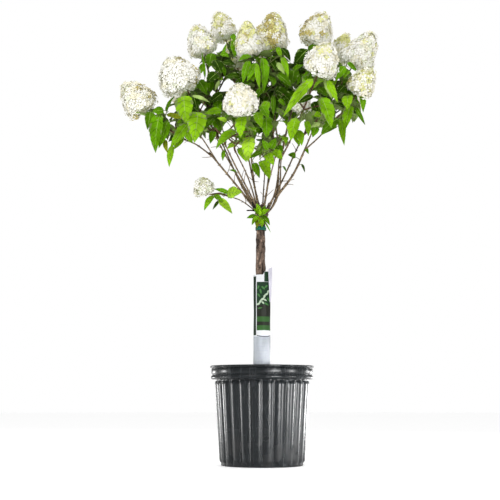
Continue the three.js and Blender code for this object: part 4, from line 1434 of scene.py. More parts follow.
def build_trunk(settings):
    """The trunk with its knots and knuckle, and the stubs that were sawn off at the fork."""
    heap = Heap()
    curve = trunk_curve()
    marks = np.linspace(0, 1, TRUNK_ROWS)
    heights = curve.at(marks)[:, 2]

    def radius(shares):
        here = np.interp(shares, marks, heights)
        knots = sum(size * np.exp(-((here - at) / KNOT_LENGTH) ** 2) for at, size in KNOTS)
        return trunk_radius(here) + knots

    tube(heap, curve, radius, 36, 3.2, bark_relief(settings.relief / MM, 3.0, KNOB_DEPTH))
    for number, (points, foot, tip) in enumerate(STUBS):
        tube(heap, Curve(points), taper(foot, tip), 12, 2.0, bark_relief(0.5, 20.0 + number))
    dead = Heap()
    for points, foot, tip in DEAD_STUBS:
        tube(dead, Curve(points), taper(foot, tip), 12, 2.0, bark_relief(0.6, 27.0))
    paint = bark_paint("dead_wood", (0.008, 0.006, 0.004), (0.02, 0.014, 0.01), (0.06, 0.04, 0.03), 120)
    dead.piece("dead_stubs", paint, "bark")
    heap.piece("trunk_bark", wood_paint("bark", settings.old_bark, 0.12, 2.4, 85), "bark", ["trunk"])


def node_swell(step, radius):
    """Rings of swelling where leaf pairs once stood, by length along a limb."""
    return lambda marks: 0.16 * radius * np.exp(-((marks % step - step / 2) / 2.4) ** 2)


def strand_curve(curve, strand, foot, tip):
    """One of the stems that a thick bough is grown together from, winding slowly round its axis."""
    rows = []
    for share in np.linspace(0, 1, 9):
        ahead = curve.along(share)
        across = unit(np.cross(ahead, [0.1, 1, 0]))
        angle = 2 * math.pi * strand / STRANDS + 1.7 * share
        away = (0.85 + 0.2 * math.sin(5 * share + strand)) * (foot + (tip - foot) * share)
        away *= 1 - 0.75 * abs(2 * share - 1) ** 3
        rows.append(curve.at(share) + turned(across, ahead, angle) * away)
    return Curve(rows)


def bud_or_spur(heap, place, forward, side, size, seed, draws):
    """What stands at a node of a bough: a bud, a short dry spur or nothing."""
    kind = draws()
    if kind < BUD_SHARE:
        bud = Curve([place + side * size * 0.6, place + side * (size + 1.6) + forward * 1.6,
                     place + side * (size + 2.2) + forward * 4.2])
        tube(heap, bud, taper(0.42 * size, 0.063 * size), 5, 2.0)
    elif kind < BUD_SHARE + SPUR_SHARE:
        reach = draws(14, 42)
        away = unit(side + forward * draws(0.5, 1.1) + np.array([0, 0, draws(-0.25, 0.3)]))
        bend = np.array([*draws.array(2, -3, 3), draws(-2, 3)])
        spur = Curve([place, place + away * reach * 0.5 + bend, place + away * reach])
        tube(heap, spur, taper(1.25, 0.7), 5, 5.0, bark_relief(0.15, seed))


def build_boughs(settings):
    """The boughs with their buds and spurs. A thick one is strands that grew together."""
    heap = Heap()
    draws = Draws(411)
    step = settings.node_step / MM
    for number, (name, (_, _, (foot, tip), _)) in enumerate(BOUGHS.items()):
        curve = bough_curves()[name]
        swell = node_swell(step, (foot + tip) / 2)
        size = taper(foot, tip)

        def radius(shares, curve=curve, swell=swell, size=size, foot=foot):
            flare = 0.2 * foot * np.exp(-shares * curve.length / 10)
            return SLENDER * size(shares) + flare + swell(shares * curve.length)

        depth = 0.07 * foot
        if foot > STRANDED:
            for strand in range(STRANDS):
                tube(heap, strand_curve(curve, strand, foot, tip), lambda s, r=radius: 0.44 * r(s), 9, 5.0,
                     bark_relief(depth, 33.0 + strand))
        else:
            tube(heap, curve, radius, 10, 5.0, bark_relief(depth, 40.0 + 3 * number))
        for mark in np.arange(step * 1.5, curve.length - 8, step):
            share = mark / curve.length
            place, forward = curve.at(share), curve.along(share)
            turn = math.pi / 2 * round(mark / step) + number
            across = turned(unit(np.cross(forward, SIDEWAYS)), forward, turn)
            for hand in (-1, 1):
                bud_or_spur(heap, place, forward, across * hand, size(share), 90.0 + mark, draws)
    paint = wood_paint("young_bark", settings.young_bark, 0.3, 1.75, 120)
    heap.piece("bough_bark", paint, "young_bark", list(BOUGHS))


def build_twigs(settings, leaf_settings):
    """The masses' stems and twigs, and the green side twigs and leaf stalks on them."""
    stems, twigs, _, _ = crown()
    _, stalks, sprigs = grown_leaves(leaf_settings)
    heap = Heap()
    for number, stem in enumerate(stems):
        tube(heap, stem, taper(3.0, 2.7), 8, 5.0, bark_relief(0.2, 130.0 + number))
    size, swell = taper(2.7, 1.75), node_swell(INTERNODE, 2.2)
    for number, twig in enumerate(twigs):
        tube(heap, twig.curve, lambda s, t=twig: size(s) + swell(s * t.curve.length), 7, 4.5,
             bark_relief(0.12, 170.0 + number))
    young = settings.young_bark
    reddish = tuple(np.multiply(young, REDDENED))
    paint = bark_paint("twig_bark", toned(reddish, 0.4), reddish, toned(young, 1.1), 160)
    heap.piece("twigs", paint, "young_bark", list(MASSES))
    green = Heap()
    for sprig in sprigs:
        tube(green, sprig, taper(1.5, 1.0), 6, 5.0)
    for foot, root, direction in stalks:
        stalk = Curve([foot, (foot + root) / 2 + np.array([0, 0, 0.8]), root + direction * 3])
        tube(green, stalk, taper(1.05, 0.8), 5, 5.0)
    green.piece("leaf_stalks", wood_paint("green_wood", settings.green_wood, 0.6, 1.3, 160), "foliage")


# Leaves on the crown and on the rosette


def grown_leaves(settings):
    spacing = round(settings.spacing / MM, 3)
    return foliage(round(settings.length / MM, 3), round(settings.width_share, 3), spacing)


UPPER_ROUGHNESS = 0.34
UNDER_ROUGHNESS = 0.5
VEIN_ROUGHNESS = 0.45
VEINED = {"light": ("bright", "young", "fresh"), "dark": ("middle", "olive")}


def leaf_colours(settings):
    deep, middle, bright, young, olive = (np.array(getattr(settings, name)) for name in (
        "deep", "middle", "bright", "young", "olive"))
    # Shaded, fresh and young are mixes of the deep, middle, bright and young greens. The darker tones are
    # painted shade and the lighter ones painted light, and young is also the paler green of new leaves.
    return {
        "deep": deep, "shaded": (deep + middle) / 2, "middle": middle, "fresh": (middle + bright) / 2,
        "bright": bright, "young": (bright + young) / 2, "olive": olive, "pale": middle,
    }


def leaf_pieces(leaves, settings, prefix, replaces):
    """A piece of upper skins for each tone, then undersides, turned leaves, midribs and side veins."""

    def piece(heap, name, paint, colour, roughness, replaces=()):
        if heap.count:
            material = leaf_paint(f"{prefix}_{paint}", colour, roughness)
            heap.piece(f"{prefix}_{name}", material, "foliage", replaces)

    under, turned_over, ribs = Heap(), Heap(), Heap()
    colours = leaf_colours(settings)
    for tone, colour in colours.items():
        chosen = leaves.chosen(tone)
        if chosen is None:
            continue
        upper = Heap()
        blade_skin(upper, chosen, under=False)
        blade_skin(turned_over if tone == "pale" else under, chosen, under=True)
        midribs(ribs, chosen)
        piece(upper, tone, tone, colour, UPPER_ROUGHNESS, replaces)
    # Undersides that face down are painted at 0.6 of the underside colour, as painted shade under the
    # leaves; turned leaves show it in full.
    piece(under, "undersides", "underside", toned(settings.underside, 0.6), UNDER_ROUGHNESS)
    piece(turned_over, "turned_over", "turned_over", settings.underside, UNDER_ROUGHNESS)
    piece(ribs, "ribs", "rib", settings.veins, VEIN_ROUGHNESS)
    for name, tones in VEINED.items():
        veins = Heap()
        for chosen in filter(None, map(leaves.chosen, tones)):
            side_veins(veins, chosen)
        # Side veins are painted at half their blades' lightness, as painted shade in the grooves that they
        # press into the leaf.
        colour = toned(colours[tones[0]], 0.5)
        piece(veins, f"{name}_veins", f"{name}_vein", colour, VEIN_ROUGHNESS)


ROSETTE_ROOT = (-4.0, -13.0, 729.0)
ROSETTE_TIP = (-5.0, -30.0, 735.0)

# The rosette's leaves from the front: foot x and z, tip x and z, depth, width, tone.
# Each tone paints the light and shade on the leaf as well as its green.
ROSETTE = [
    (-6, 737, -16, 770, -38, 15, "fresh"), (-3, 736, 23, 749, -40, 18, "fresh"),
    (0, 743, 14, 764, -32, 12, "shaded"), (-16, 735, -45, 725, -36, 13, "shaded"),
    (-11, 734, -30, 703, -40, 15, "fresh"), (-9, 730, -15, 693, -42, 15, "olive"),
    (-6, 729, 0, 695, -42, 16, "fresh"), (-1, 734, 23, 705, -38, 18, "shaded"),
    (5, 722, 26, 683, -34, 5, "middle"), (-12, 740, -25, 754, -34, 12, "middle"),
    (-6, 732, -7, 753, -44, 10, "bright"),
]


def build_rosette(leaf_settings, bark_settings):
    """The tuft of young leaves at the knuckle, on its own short stem."""
    heap, leaves, draws = Heap(), Leaves(), Draws(97)
    stem = Curve([ROSETTE_ROOT, np.add(ROSETTE_ROOT, ROSETTE_TIP) / 2, ROSETTE_TIP])
    tube(heap, stem, taper(2.6, 1.9), 8, 2.5, bark_relief(0.2, 7.0))
    for row in ROSETTE:
        leaf = hung_leaf(row, draws)
        leaves.add(*leaf)
        root = leaf[0]
        stalk = Curve([stem.at(0.8), (stem.at(1.0) + root) / 2 + np.array([0, -1.5, 0]), root])
        tube(heap, stalk, taper(1.2, 0.9), 5, 3.0)
    paint = wood_paint("rosette_wood", bark_settings.green_wood, 0.6, 1.3, 160)
    heap.piece("rosette_stem", paint, "foliage")
    leaf_pieces(leaves, leaf_settings, "rosette", ["rosette"])


# Flower heads


FLORET_PATTERNS = 6

# Half a sepal's outline from its foot to its tip: along and across.
SEPAL = [(0.06, 0.0), (0.32, 0.62), (0.66, 1.0), (0.93, 0.6), (1.02, 0.0)]

# The bud in a floret's middle, a low pyramid.
BUD_CORNERS = np.array([[1, 0, 0], [0, 1, 0], [-1, 0, 0], [0, -1, 0], [0, 0, 1.0]]) * 1.5
BUD_FACES = [[0, 1, 4], [1, 2, 4], [2, 3, 4], [3, 0, 4]]

# Layers of a flower head: its scale and its share of the florets, of which a full head has all.
LAYERS = {"outer": (0.93, 1.0), "inner": (0.79, 0.56)}
FULL_HEAD = (106, 114)

# Florets that stand proud of their head or hang from its foot, and the turn from one to the next.
GOLDEN_ANGLE = 2.399963
PROUD = 26
PROUD_SHARE = 0.22
SKIRT = 0.15
SKIRT_SHARE = 0.12
SMALL_FROM = 0.7


def floret_shape(draws, size):
    """Four rounded sepals: corners and faces of one floret that faces up."""
    corners, faces = [], []
    outline = np.array([*SEPAL, *((along, -across) for along, across in SEPAL[3:0:-1])])
    for quarter in range(4):
        reach, wide, cup = draws(0.9, 1.15), draws(0.36, 0.46), draws(-0.02, 0.26)
        lift = 0.05 if quarter % 2 else 0.0
        angle = quarter * math.pi / 2 + draws(-0.12, 0.12)
        start = len(corners)
        for along, across in outline:
            point = np.array([along * reach, across * wide, 0])
            point = turned(point, np.array([0, 0, 1]), angle)
            point[2] = lift + cup * along * along + 0.12 * abs(across) * (1 - along)
            corners.append(point)
        faces += [[start, start + k, start + k + 1] for k in range(1, len(outline) - 1)]
    return np.array(corners) * size / 2, faces


# Tints: weights of the petals at a head's foot and top, and which side is more ochre, how much.
# That ochre side is partly the florets' own ageing and partly painted shade on that side of the head.
PETALS = ("white", "cream", "lime", "ochre", "green")
TINTS = {
    "white_lime": ((0.97, 0.02, 0, 0, 0.01), (0.5, 0.32, 0.17, 0, 0.01), None),
    "white": ((0.94, 0.05, 0, 0, 0.01), (0.6, 0.34, 0.05, 0, 0.01), None),
    "white_inner": ((0.9, 0.08, 0, 0.01, 0.01), (0.74, 0.22, 0.02, 0.02, 0), ((1, 0, 0.2), 0.35)),
    "cream": ((0.5, 0.42, 0.02, 0.06, 0), (0.3, 0.5, 0.14, 0.06, 0), None),
    "cream_inner": ((0.5, 0.42, 0, 0.05, 0.03), (0.6, 0.28, 0, 0.01, 0.11), ((1, 0, 0.2), 0.4)),
    "grey": ((0.76, 0.1, 0.02, 0, 0.12), (0.38, 0.3, 0.14, 0.02, 0.16), ((1, 0, 0), 0.12)),
    "lime_top": ((0.9, 0.1, 0, 0, 0), (0.04, 0.26, 0.66, 0.04, 0), None),
    "lime": ((0.6, 0.26, 0.1, 0, 0.04), (0.04, 0.2, 0.7, 0.06, 0), None),
    "ochre": ((0.36, 0.42, 0.06, 0.16, 0), (0.2, 0.4, 0.2, 0.2, 0), None),
    "ochre_left": ((0.84, 0.12, 0.02, 0.01, 0.01), (0.14, 0.34, 0.5, 0.02, 0), ((-0.6, -1, 0), 1)),
    "ochre_rim": ((0.7, 0.2, 0.02, 0.07, 0.01), (0.44, 0.32, 0.18, 0.06, 0), ((-1, -0.3, 0), 0.7)),
    "green": ((0.7, 0.1, 0, 0, 0.2), (0.46, 0.14, 0.1, 0, 0.3), None),
}


def floret_places(head, count, scale, draws):
    """Florets spread evenly over a head: place, way outward, share of its height, way from its axis."""
    shares = np.linspace(0.0, 1.0, 200)
    radius = head.shape(shares) * head.width / 2 * scale
    ring = radius + 0.06 * head.width * np.sin(math.pi * shares)
    slant = np.hypot(np.diff(radius), np.diff(shares) * head.height)
    area = np.concatenate([[0], np.cumsum((ring[1:] + ring[:-1]) / 2 * slant)])
    marks = (np.arange(count) + 0.5) / count * area[-1]
    share = np.interp(marks, area, shares)
    angle = np.arange(count) * GOLDEN_ANGLE + draws.array(count, -0.12, 0.12)
    here = np.interp(share, shares, radius)
    slope = np.interp(share, shares, np.gradient(radius, shares * head.height))
    round_axis = head.across * np.cos(angle)[:, None] + head.beside * np.sin(angle)[:, None]
    outward = unit(round_axis - head.axis * np.clip(slope, -3, 3)[:, None])
    height = (share - 0.5) * head.height * (0.5 + scale / 2)
    turn = head.middle[0] / 37
    lump = np.sin(3 * angle + 5 * share + turn) + 0.8 * np.sin(5 * angle - 7 * share + 2 * turn)
    here = here * (1 + 0.035 * lump)
    place = head.middle + head.axis * height[:, None] + round_axis * here[:, None]
    return place, outward, share, round_axis


def petal_of(tint, share, from_axis, draws):
    """The petals of a floret by its height on the head and the side that it is on."""
    foot, top, side = TINTS[tint]
    weights = np.array(foot) * (1 - share) + np.array(top) * share
    # More ochre on one side: partly ageing florets, partly painted shade.
    if side:
        toward, strength = side
        strength *= max(0.0, np.dot(from_axis, unit(toward))) ** 4
        weights = weights * (1 - strength)
        weights[PETALS.index("ochre")] += strength
    pick = np.searchsorted(np.cumsum(weights) / weights.sum(), draws())
    return PETALS[min(pick, len(PETALS) - 1)]


def build_flowers(settings):
    """The florets of all heads by petal, those inside the heads, and the buds of the outer ones."""
    _, _, heads, _ = crown()
    draws = Draws(907)
    patterns = [floret_shape(draws, settings.floret / MM) for _ in range(FLORET_PATTERNS)]
    heaps = {name: Heap() for name in (*PETALS, "inner")}
    buds = Heap()
    for head, (layer, (scale, density)) in itertools.product(heads, LAYERS.items()):
        full = (head.width / FULL_HEAD[0]) * (head.height / FULL_HEAD[1])
        count = int(settings.florets * full * density)
        for place, outward, share, from_axis in zip(*floret_places(head, count, scale, draws)):
            wobble = draws.array(3, -1, 1)
            facing = unit(outward + 0.26 * wobble + 0.1 * head.axis)
            across = unit(np.cross(facing, wobble + [0.3, 0.9, 0.1]))
            turn = np.stack([across, np.cross(facing, across), facing], 1)
            size = draws(0.84, 1.12) * (1 - 0.3 * max(0, share - SMALL_FROM) / (1 - SMALL_FROM))
            skirt = SKIRT * head.width * max(0, SKIRT_SHARE - share) / SKIRT_SHARE * draws() ** 2
            proud = draws(-3.5, 2) + PROUD * max(0, draws() - 1 + PROUD_SHARE)
            middle = place + outward * proud - [0, 0, skirt]
            corners, faces = patterns[int(draws(0, FLORET_PATTERNS - 0.001))]
            petal = petal_of(head.tint, share, from_axis, draws)
            outer = layer == "outer"
            heaps[petal if outer else "inner"].add(middle + (corners * size) @ turn.T, [faces])
            if outer:
                buds.add(middle + (BUD_CORNERS * size) @ turn.T, [BUD_FACES])
    colours = {name: getattr(settings, name) for name in PETALS}
    # The florets inside the heads are a white and lime mix painted darker: partly the greener inner
    # flowers, partly painted shade inside the head.
    colours["inner"] = 0.41 * np.add(settings.white, settings.lime)
    for name, heap in heaps.items():
        heap.piece(f"florets_{name}", petal_paint(f"petal_{name}", colours[name]), "blossom",
                   list(MASSES) if name == "white" else ())
    buds.piece("floret_buds", petal_paint("bud_green", (0.72, 0.69, 0.50)), "blossom")


# Sleeve label and tie


def sleeve_places(turn, height, stand_off):
    """Places on the sleeve by angle from the front and height, with its slight creases."""
    crease = 0.45 * np.sin(turn * 3 + height * 0.021) + 0.3 * np.sin(height * 0.063 + turn * 7)
    wide, deep = (half - 0.3 + stand_off + crease for half in LABEL_HALF)
    top = np.clip((height - 520) / 50, 0, 1) ** 2
    flap = np.clip((turn - 1.2) / 0.5, 0, 1) * (turn < 1.9) * top
    x = (wide + 3.5 * flap) * np.sin(turn)
    y = -(deep + 1.5 * flap) * np.cos(turn)
    lower = 10 * np.clip((height - 545) / 25, 0, 1) * np.clip((8 - x) / 4, 0, 1)
    return np.stack([x, y, height + 7 * flap - lower], -1)


def sleeve_patch(heap, turns, heights, stand_off, grid, sag=0.0, inner=False):
    """Part of the sleeve between two angles and two heights. It can sag in its middle."""
    columns, rows = grid
    turn, height = np.meshgrid(np.linspace(*turns, columns + 1), np.linspace(*heights, rows + 1))
    middle = (turns[0] + turns[1]) / 2
    bowed = height - sag * np.cos(np.clip((turn - middle) / (turns[1] - turns[0]), -0.5, 0.5) * math.pi)
    faces = grid_faces(rows + 1, columns + 1)
    heap.add(sleeve_places(turn, bowed, stand_off), [faces[:, ::-1] if inner else faces])


def front(x):
    """The angle on the sleeve that stands at this distance to the right of its middle."""
    return math.asin(x / LABEL_HALF[0])


LABEL_FOOT = SOIL_LEVEL + 0.3
OVERLAP = 0.3
FILM_THICK = 0.6
SLEEVE_GRID = (72, 40)
PATCH_GRID = (18, 12)
PANEL = (front(-15.4), front(24.6))
LINE_HEIGHT = 1.1

# Plain printed lines: right end and height.
LINES = [(14, 366), (18, 356), (9, 346), (17, 334), (12, 324), (16, 312), (4, 302), (15, 288)]

# Leaf shapes of the generic plant motif, by colour: middle x and z, length, width, lean.
MOTIFS = {
    "motif": [
        (-11, 472, 12, 6, 0.5), (-5, 479, 13, 6, 1.1), (1, 486, 12, 7, 0.4), (7, 494, 13, 6, 1.2),
        (13, 501, 12, 6, 0.6), (18, 509, 10, 5, 1.3), (3, 476, 10, 5, 2.4), (10, 484, 10, 5, 2.6),
    ],
    "sprays": [
        (-9, 498, 14, 5, 2.2), (-4, 510, 15, 6, 1.8), (4, 520, 14, 6, 2.4), (-11, 522, 12, 5, 1.2),
        (14, 472, 14, 5, 2.6), (19, 486, 12, 5, 2.0), (12, 524, 12, 5, 0.8), (-6, 460, 14, 4, 0.2),
    ],
}
MOTIF_SIDES = 16


def build_sleeve(settings):
    """The film wrapped once round the trunk, its two skins, with its ends overlapping."""
    film = Heap()
    turns, heights = (-math.pi - OVERLAP, math.pi), (LABEL_FOOT, LABEL_TOP)
    sleeve_patch(film, turns, heights, 0.0, SLEEVE_GRID)
    sleeve_patch(film, turns, heights, -FILM_THICK, SLEEVE_GRID, inner=True)
    film.piece("label_sleeve", film_paint("label_white", settings.film, 0.93), "label_film", ["wrap_label"])


def build_print(settings):
    """Plain areas, strips and lines printed on the sleeve, and dark strips of painted shade down its two
    side edges, each kind a little off it.
    """
    green = settings.print_green
    kinds = {
        "label_field": (settings.field, 0.25, 0, [((front(-24.4), front(24.6)), (LABEL_FOOT, 376))]),
        "label_strip": (toned(green, 0.5), 0.3, 0, [((-1.75, front(-17.6)), (380, 562))]),
        "label_panel": (green, 0.3, 0, [(PANEL, (470, 538)), ((front(7.2), 1.7), (539, 569))]),
        "label_shade": ((0.012, 0.014, 0.008), 0.3, 0, [(PANEL, (435, 470)), (PANEL, (409, 420))]),
        "label_band": ((0.03, 0.11, 0.02), 0.3, 0, [(PANEL, (420, 435)), (PANEL, (394, 409))]),
        "label_lines": ((0.40, 0.44, 0.52), 0.4, 0, [
            ((front(-17), front(x)), (z, z + LINE_HEIGHT)) for x, z in LINES]),
        # Dark strips down both sides of the sleeve: painted shade where the film turns away from the front.
        "label_edges": ((0.06, 0.07, 0.10), 0.35, 0, [
            ((front(x), front(x + 0.8)), (LABEL_FOOT, 378)) for x in (-24.7, 23.8)]),
        "label_rule": ((0.05, 0.06, 0.08), 0.45, 3.5, [((front(-15.6), front(24.4)), (378, 380.6))]),
    }
    for name, (colour, stand_off, sag, areas) in kinds.items():
        heap = Heap()
        for turns, heights in areas:
            sleeve_patch(heap, turns, heights, stand_off, PATCH_GRID, sag)
        heap.piece(name, film_paint(name, colour, 0.8), "label_film")


def build_motifs(settings):
    """Flat leaf shapes printed on the panel."""
    ring = np.linspace(0, 2 * math.pi, MOTIF_SIDES, endpoint=False)
    narrow = np.sqrt(np.abs(np.cos(ring / 2)) + 0.2)
    for name, shapes in MOTIFS.items():
        heap = Heap()
        for x, height, long, wide, lean in shapes:
            along, across = long / 2 * np.cos(ring), wide / 2 * np.sin(ring) * narrow
            rim_x = x + along * math.cos(lean) - across * math.sin(lean)
            rim_z = height + along * math.sin(lean) + across * math.cos(lean)
            turn = np.arcsin(np.clip(np.append(rim_x, x) / LABEL_HALF[0], -0.98, 0.98))
            corners = sleeve_places(turn, np.append(rim_z, height), 0.6)
            heap.add(corners, [[[MOTIF_SIDES, k, (k + 1) % MOTIF_SIDES] for k in range(MOTIF_SIDES)]])
        paint = film_paint(f"label_{name}", getattr(settings, name), 0.85)
        heap.piece(f"label_{name}", paint, "label_film")


def build_flap(settings):
    """The loose corner of the film, which curls off the sleeve on its right."""
    flap = Heap()
    rows, columns = 13, 5
    down, out = np.meshgrid(np.linspace(0, 1, rows), np.linspace(0, 1, columns), indexing="ij")
    x = 18.5 + 4.5 * down + (2.5 + 9.5 * (1 - down) ** 0.7) * out
    y = -19.6 + 4.0 * down + 4.2 * out ** 2 - 0.8 * np.sin(down * 9)
    z = LABEL_TOP + 6 - 98 * down + 6 * out * (1 - down)
    faces = grid_faces(rows, columns)
    flap.add(np.stack([x, y, z], -1), [faces[:, ::-1]])
    flap.add(np.stack([x, y + 0.5, z], -1), [faces])
    flap.piece("label_flap", film_paint("label_flap", settings.flap, 0.8), "label_film")


# The tie's tape: turns round the trunk in radians, rows along it, its section as (height, out).
TIE_TURNS = 4 * math.pi + 0.9
TIE_ROWS = 110
TIE_SECTION = [(-5.2, 0.0), (-4.9, 0.8), (4.9, 0.8), (5.2, 0.0), (4.9, -0.5), (-4.9, -0.5)]


def build_tie(settings):
    """Flat tape wound a little over two turns round the trunk."""
    share = (TIE_HEIGHT - SOIL_LEVEL) / (FORK_HEIGHT - SOIL_LEVEL)
    middle = trunk_curve().at(share)
    turns = np.linspace(0, TIE_TURNS, TIE_ROWS)[:, None]
    height, out = np.transpose(TIE_SECTION)
    reach = trunk_radius(TIE_HEIGHT) + 1.2 + 0.07 * turns + out + 0.25 * np.sin(turns * 9)
    rise = 1.2 * np.sin(turns * 0.5 + 0.6)
    corners = np.stack([middle[0] + reach * np.sin(turns), middle[1] - reach * np.cos(turns),
                        TIE_HEIGHT + height + rise], -1)
    sides = len(TIE_SECTION)
    caps = np.array([[0, 1, 2, 3], [3, 4, 5, 0]])
    ends = np.vstack([caps, caps[:, ::-1] + (TIE_ROWS - 1) * sides])
    heap = Heap()
    heap.add(corners, [grid_faces(TIE_ROWS, sides, closed=True), ends])
    heap.piece("tie_tape", film_paint("tie_tape", settings.tie, 0.6), "tie_tape", ["tie_band"])


# Stage


def area_light(name, place, target, size, share, spread, power):
    """A lamp that the camera doesn't see, with its share of a power."""
    light = bpy.data.lights.new(name, "AREA")
    light.shape = "RECTANGLE"
    light.size, light.size_y = size
    light.energy = power * share
    light.spread = math.radians(spread)
    lamp = linked(name, light)
    lamp.location = place
    lamp.visible_camera = False
    lamp.rotation_euler = (Vector(target) - Vector(place)).to_track_quat("-Z", "Y").to_euler()


# Camera, floor and the world's light at its foot and top. The stage is in metres and degrees.
SENSOR = 36
LENS = 79.85
VIEW_END = 60
FLOOR_RADIUS = 14
FLOOR_CORNERS = 64
FLOOR_DROP = 0.0002
WORLD_LIGHT = (0.28, 1.3)
ALL_ROUND = 180
LOW_SPREAD = 40

# Lights: place, point that they aim at, size, share of the key power, spread.
FRONT_LIGHTS = {
    "key_light": ((-1.3, -2.6, 2.7), (0, 0, 1.0), (1.2, 1.2), 1, ALL_ROUND),
    "fill_light": ((1.3, -2.8, 1.3), (0, 0, 0.7), (0.3, 1.6), 0.25, ALL_ROUND),
}
CROWN_LIGHTS = {
    "low_left_light": ((-1.2, -2.0, 0.3), (0, 0, 1.15), (0.8, 0.8), 0.011, LOW_SPREAD),
    "low_right_light": ((1.2, -2.0, 0.3), (0, 0, 1.15), (0.8, 0.8), 0.011, LOW_SPREAD),
    "back_light": ((0.9, 2.4, 2.4), (0, 0, 1.1), (1.4, 1.4), 0.6, ALL_ROUND),
}

# Upright lights beside the pot: azimuth from the front, distance, width, share of the strip power.
STRIPS = {
    "left_strip": (-92, 1.2, 0.16, 1.0),
    "left_edge": (-138, 1.2, 0.3, 0.5),
    "front_strip": (28, 1.6, 0.3, 2.4),
    "right_strip": (66, 1.2, 0.14, 1.1),
    "right_edge": (122, 1.2, 0.16, 0.9),
    "far_right_edge": (148, 1.2, 0.3, 0.6),
}
STRIP_SPREAD = 24
STRIP_HEIGHT = 0.13
STRIP_TALL = 0.3


def set_camera(settings):
    camera = bpy.data.cameras.new("camera")
    camera.sensor_width = SENSOR
    camera.lens = LENS
    camera.clip_end = VIEW_END
    holder = linked("camera", camera)
    holder.location = settings.camera_place
    holder.rotation_euler = (math.pi / 2 + settings.camera_tilt, 0, 0)
    bpy.context.scene.camera = holder


def lay_floor(settings):
    angles = np.linspace(0, 2 * math.pi, FLOOR_CORNERS, endpoint=False)
    mesh = bpy.data.meshes.new("floor")
    rim = [(FLOOR_RADIUS * math.cos(angle), FLOOR_RADIUS * math.sin(angle), 0) for angle in angles]
    mesh.from_pydata(rim, [], [list(range(FLOOR_CORNERS))])
    paint = Paint("floor")
    paint.set("Base Color", paint.mix(paint.noise(3, 2), settings.floor, toned(settings.floor, 0.99)))
    paint.set("Roughness", 0.8)
    paint.set("Emission Color", (1, 1, 1))
    paint.set("Emission Strength", settings.floor_glow)
    mesh.materials.append(paint.material)
    floor = linked("floor", mesh)
    floor.location.z = -FLOOR_DROP


def light_world(settings):
    """Soft light that grows upward, behind which the camera sees plain white."""
    world = bpy.data.worlds.new("studio")
    world.use_nodes = True
    nodes = Nodes(world.node_tree)
    backdrop = nodes.tree.nodes["Background"]
    nodes.put(backdrop.inputs["Color"], (1, 1, 1))
    toward = nodes.node("ShaderNodeTexCoord", output="Generated")
    height = nodes.node("ShaderNodeSeparateXYZ", {}, {0: toward}, "Z")
    low, high = (share * settings.room_light for share in WORLD_LIGHT)
    strength = nodes.node("ShaderNodeMapRange", {}, {"Value": height, "To Min": low, "To Max": high})
    soft = nodes.node("ShaderNodeBackground", {}, {"Color": (1, 1, 1), "Strength": strength})
    seen = nodes.node("ShaderNodeLightPath", output="Is Camera Ray")
    shades = {0: seen, 1: soft, 2: Shade(nodes, backdrop.outputs[0])}
    mix = nodes.node("ShaderNodeMixShader", {}, shades)
    nodes.put(nodes.tree.nodes["World Output"].inputs[0], mix)
    bpy.context.scene.world = world


def build_stage(settings):
    """The camera, the floor, the world's light and the lamps."""
    set_camera(settings)
    lay_floor(settings)
    light_world(settings)
    for name, row in FRONT_LIGHTS.items():
        area_light(name, *row, settings.key_power)
    for name, (azimuth, away, wide, share) in STRIPS.items():
        angle = math.radians(azimuth)
        place = (away * math.sin(angle), -away * math.cos(angle), STRIP_HEIGHT)
        row = place, (0, 0, STRIP_HEIGHT), (wide, STRIP_TALL), share, STRIP_SPREAD
        area_light(name, *row, settings.strip_power)
    for name, row in CROWN_LIGHTS.items():
        area_light(name, *row, settings.key_power)
    view = bpy.context.scene.view_settings
    view.view_transform = "Standard"
    view.look = "None"
    view.exposure = 0.0


# Operators


class HYDRANGEA_OT_stage(bpy.types.Operator):
    """Sets up the camera, the floor and the studio lights."""

    bl_idname = "hydrangea.stage"
    bl_label = "Set Up Studio"

    def execute(self, context):
        build_stage(context.scene.hydrangea_studio)
        return {"FINISHED"}


class HYDRANGEA_OT_pot(bpy.types.Operator):
    """Makes the fluted pot and the potting mix in it."""

    bl_idname = "hydrangea.pot"
    bl_label = "Make Pot and Mix"

    def execute(self, context):
        build_pot(context.scene.hydrangea_pot)
        build_mix(context.scene.hydrangea_pot)
        return {"FINISHED"}


class HYDRANGEA_OT_limbs(bpy.types.Operator):
    """Makes the trunk, the boughs and the twigs with their bark."""

    bl_idname = "hydrangea.limbs"
    bl_label = "Make Trunk and Boughs"

    def execute(self, context):
        build_trunk(context.scene.hydrangea_bark)
        build_boughs(context.scene.hydrangea_bark)
        build_twigs(context.scene.hydrangea_bark, context.scene.hydrangea_leaves)
        return {"FINISHED"}


class HYDRANGEA_OT_leaves(bpy.types.Operator):
    """Makes the leaves of the crown and the rosette under the fork."""

    bl_idname = "hydrangea.leaves"
    bl_label = "Make Leaves"

    def execute(self, context):
        leaves, _, _ = grown_leaves(context.scene.hydrangea_leaves)
        leaf_pieces(leaves, context.scene.hydrangea_leaves, "leaves", list(MASSES))
        build_rosette(context.scene.hydrangea_leaves, context.scene.hydrangea_bark)
        return {"FINISHED"}


class HYDRANGEA_OT_flowers(bpy.types.Operator):
    """Makes the flower heads from their florets."""

    bl_idname = "hydrangea.flowers"
    bl_label = "Make Flower Heads"

    def execute(self, context):
        build_flowers(context.scene.hydrangea_flowers)
        return {"FINISHED"}


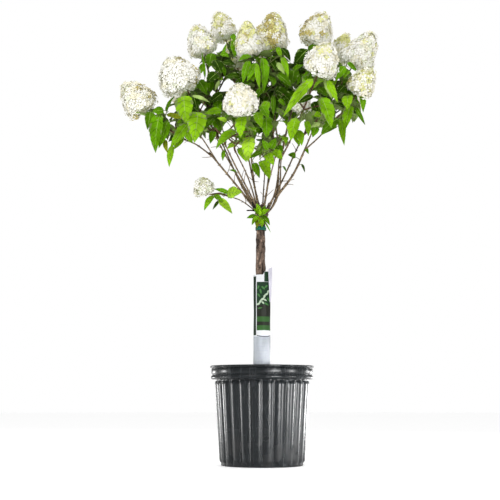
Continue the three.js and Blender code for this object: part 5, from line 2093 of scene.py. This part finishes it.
class HYDRANGEA_OT_label(bpy.types.Operator):
    """Makes the sleeve label and the tie round the trunk."""

    bl_idname = "hydrangea.label"
    bl_label = "Make Label and Tie"

    def execute(self, context):
        for build in (build_sleeve, build_print, build_motifs, build_flap, build_tie):
            build(context.scene.hydrangea_label)
        return {"FINISHED"}


class HYDRANGEA_PT_panel(bpy.types.Panel):
    """Lists the steps and their settings."""

    bl_label = "Hydrangea"
    bl_space_type = "VIEW_3D"
    bl_region_type = "UI"
    bl_category = "Hydrangea"

    def draw(self, context):
        for operator, owner in STEPS:
            box = self.layout.box()
            box.operator(operator.bl_idname)
            settings = getattr(context.scene, owner)
            for name in settings.__annotations__:
                box.prop(settings, name)


SETTINGS = {
    "hydrangea_studio": HydrangeaStudioSettings,
    "hydrangea_pot": HydrangeaPotSettings,
    "hydrangea_bark": HydrangeaBarkSettings,
    "hydrangea_leaves": HydrangeaLeafSettings,
    "hydrangea_flowers": HydrangeaFlowerSettings,
    "hydrangea_label": HydrangeaLabelSettings,
}
STEPS = [
    (HYDRANGEA_OT_stage, "hydrangea_studio"),
    (HYDRANGEA_OT_pot, "hydrangea_pot"),
    (HYDRANGEA_OT_limbs, "hydrangea_bark"),
    (HYDRANGEA_OT_leaves, "hydrangea_leaves"),
    (HYDRANGEA_OT_flowers, "hydrangea_flowers"),
    (HYDRANGEA_OT_label, "hydrangea_label"),
]


def register():
    for name, kind in SETTINGS.items():
        bpy.utils.register_class(kind)
        setattr(bpy.types.Scene, name, bpy.props.PointerProperty(type=kind))
    for operator, _ in STEPS:
        bpy.utils.register_class(operator)
    bpy.utils.register_class(HYDRANGEA_PT_panel)


def unregister():
    bpy.utils.unregister_class(HYDRANGEA_PT_panel)
    for operator, _ in reversed(STEPS):
        bpy.utils.unregister_class(operator)
    for name, kind in SETTINGS.items():
        delattr(bpy.types.Scene, name)
        bpy.utils.unregister_class(kind)


def main():
    register()
    bpy.ops.hydrangea.stage()
    bpy.ops.hydrangea.pot()
    bpy.ops.hydrangea.limbs()
    bpy.ops.hydrangea.leaves()
    bpy.ops.hydrangea.flowers()
    bpy.ops.hydrangea.label()


if __name__ == "__main__":
    main()
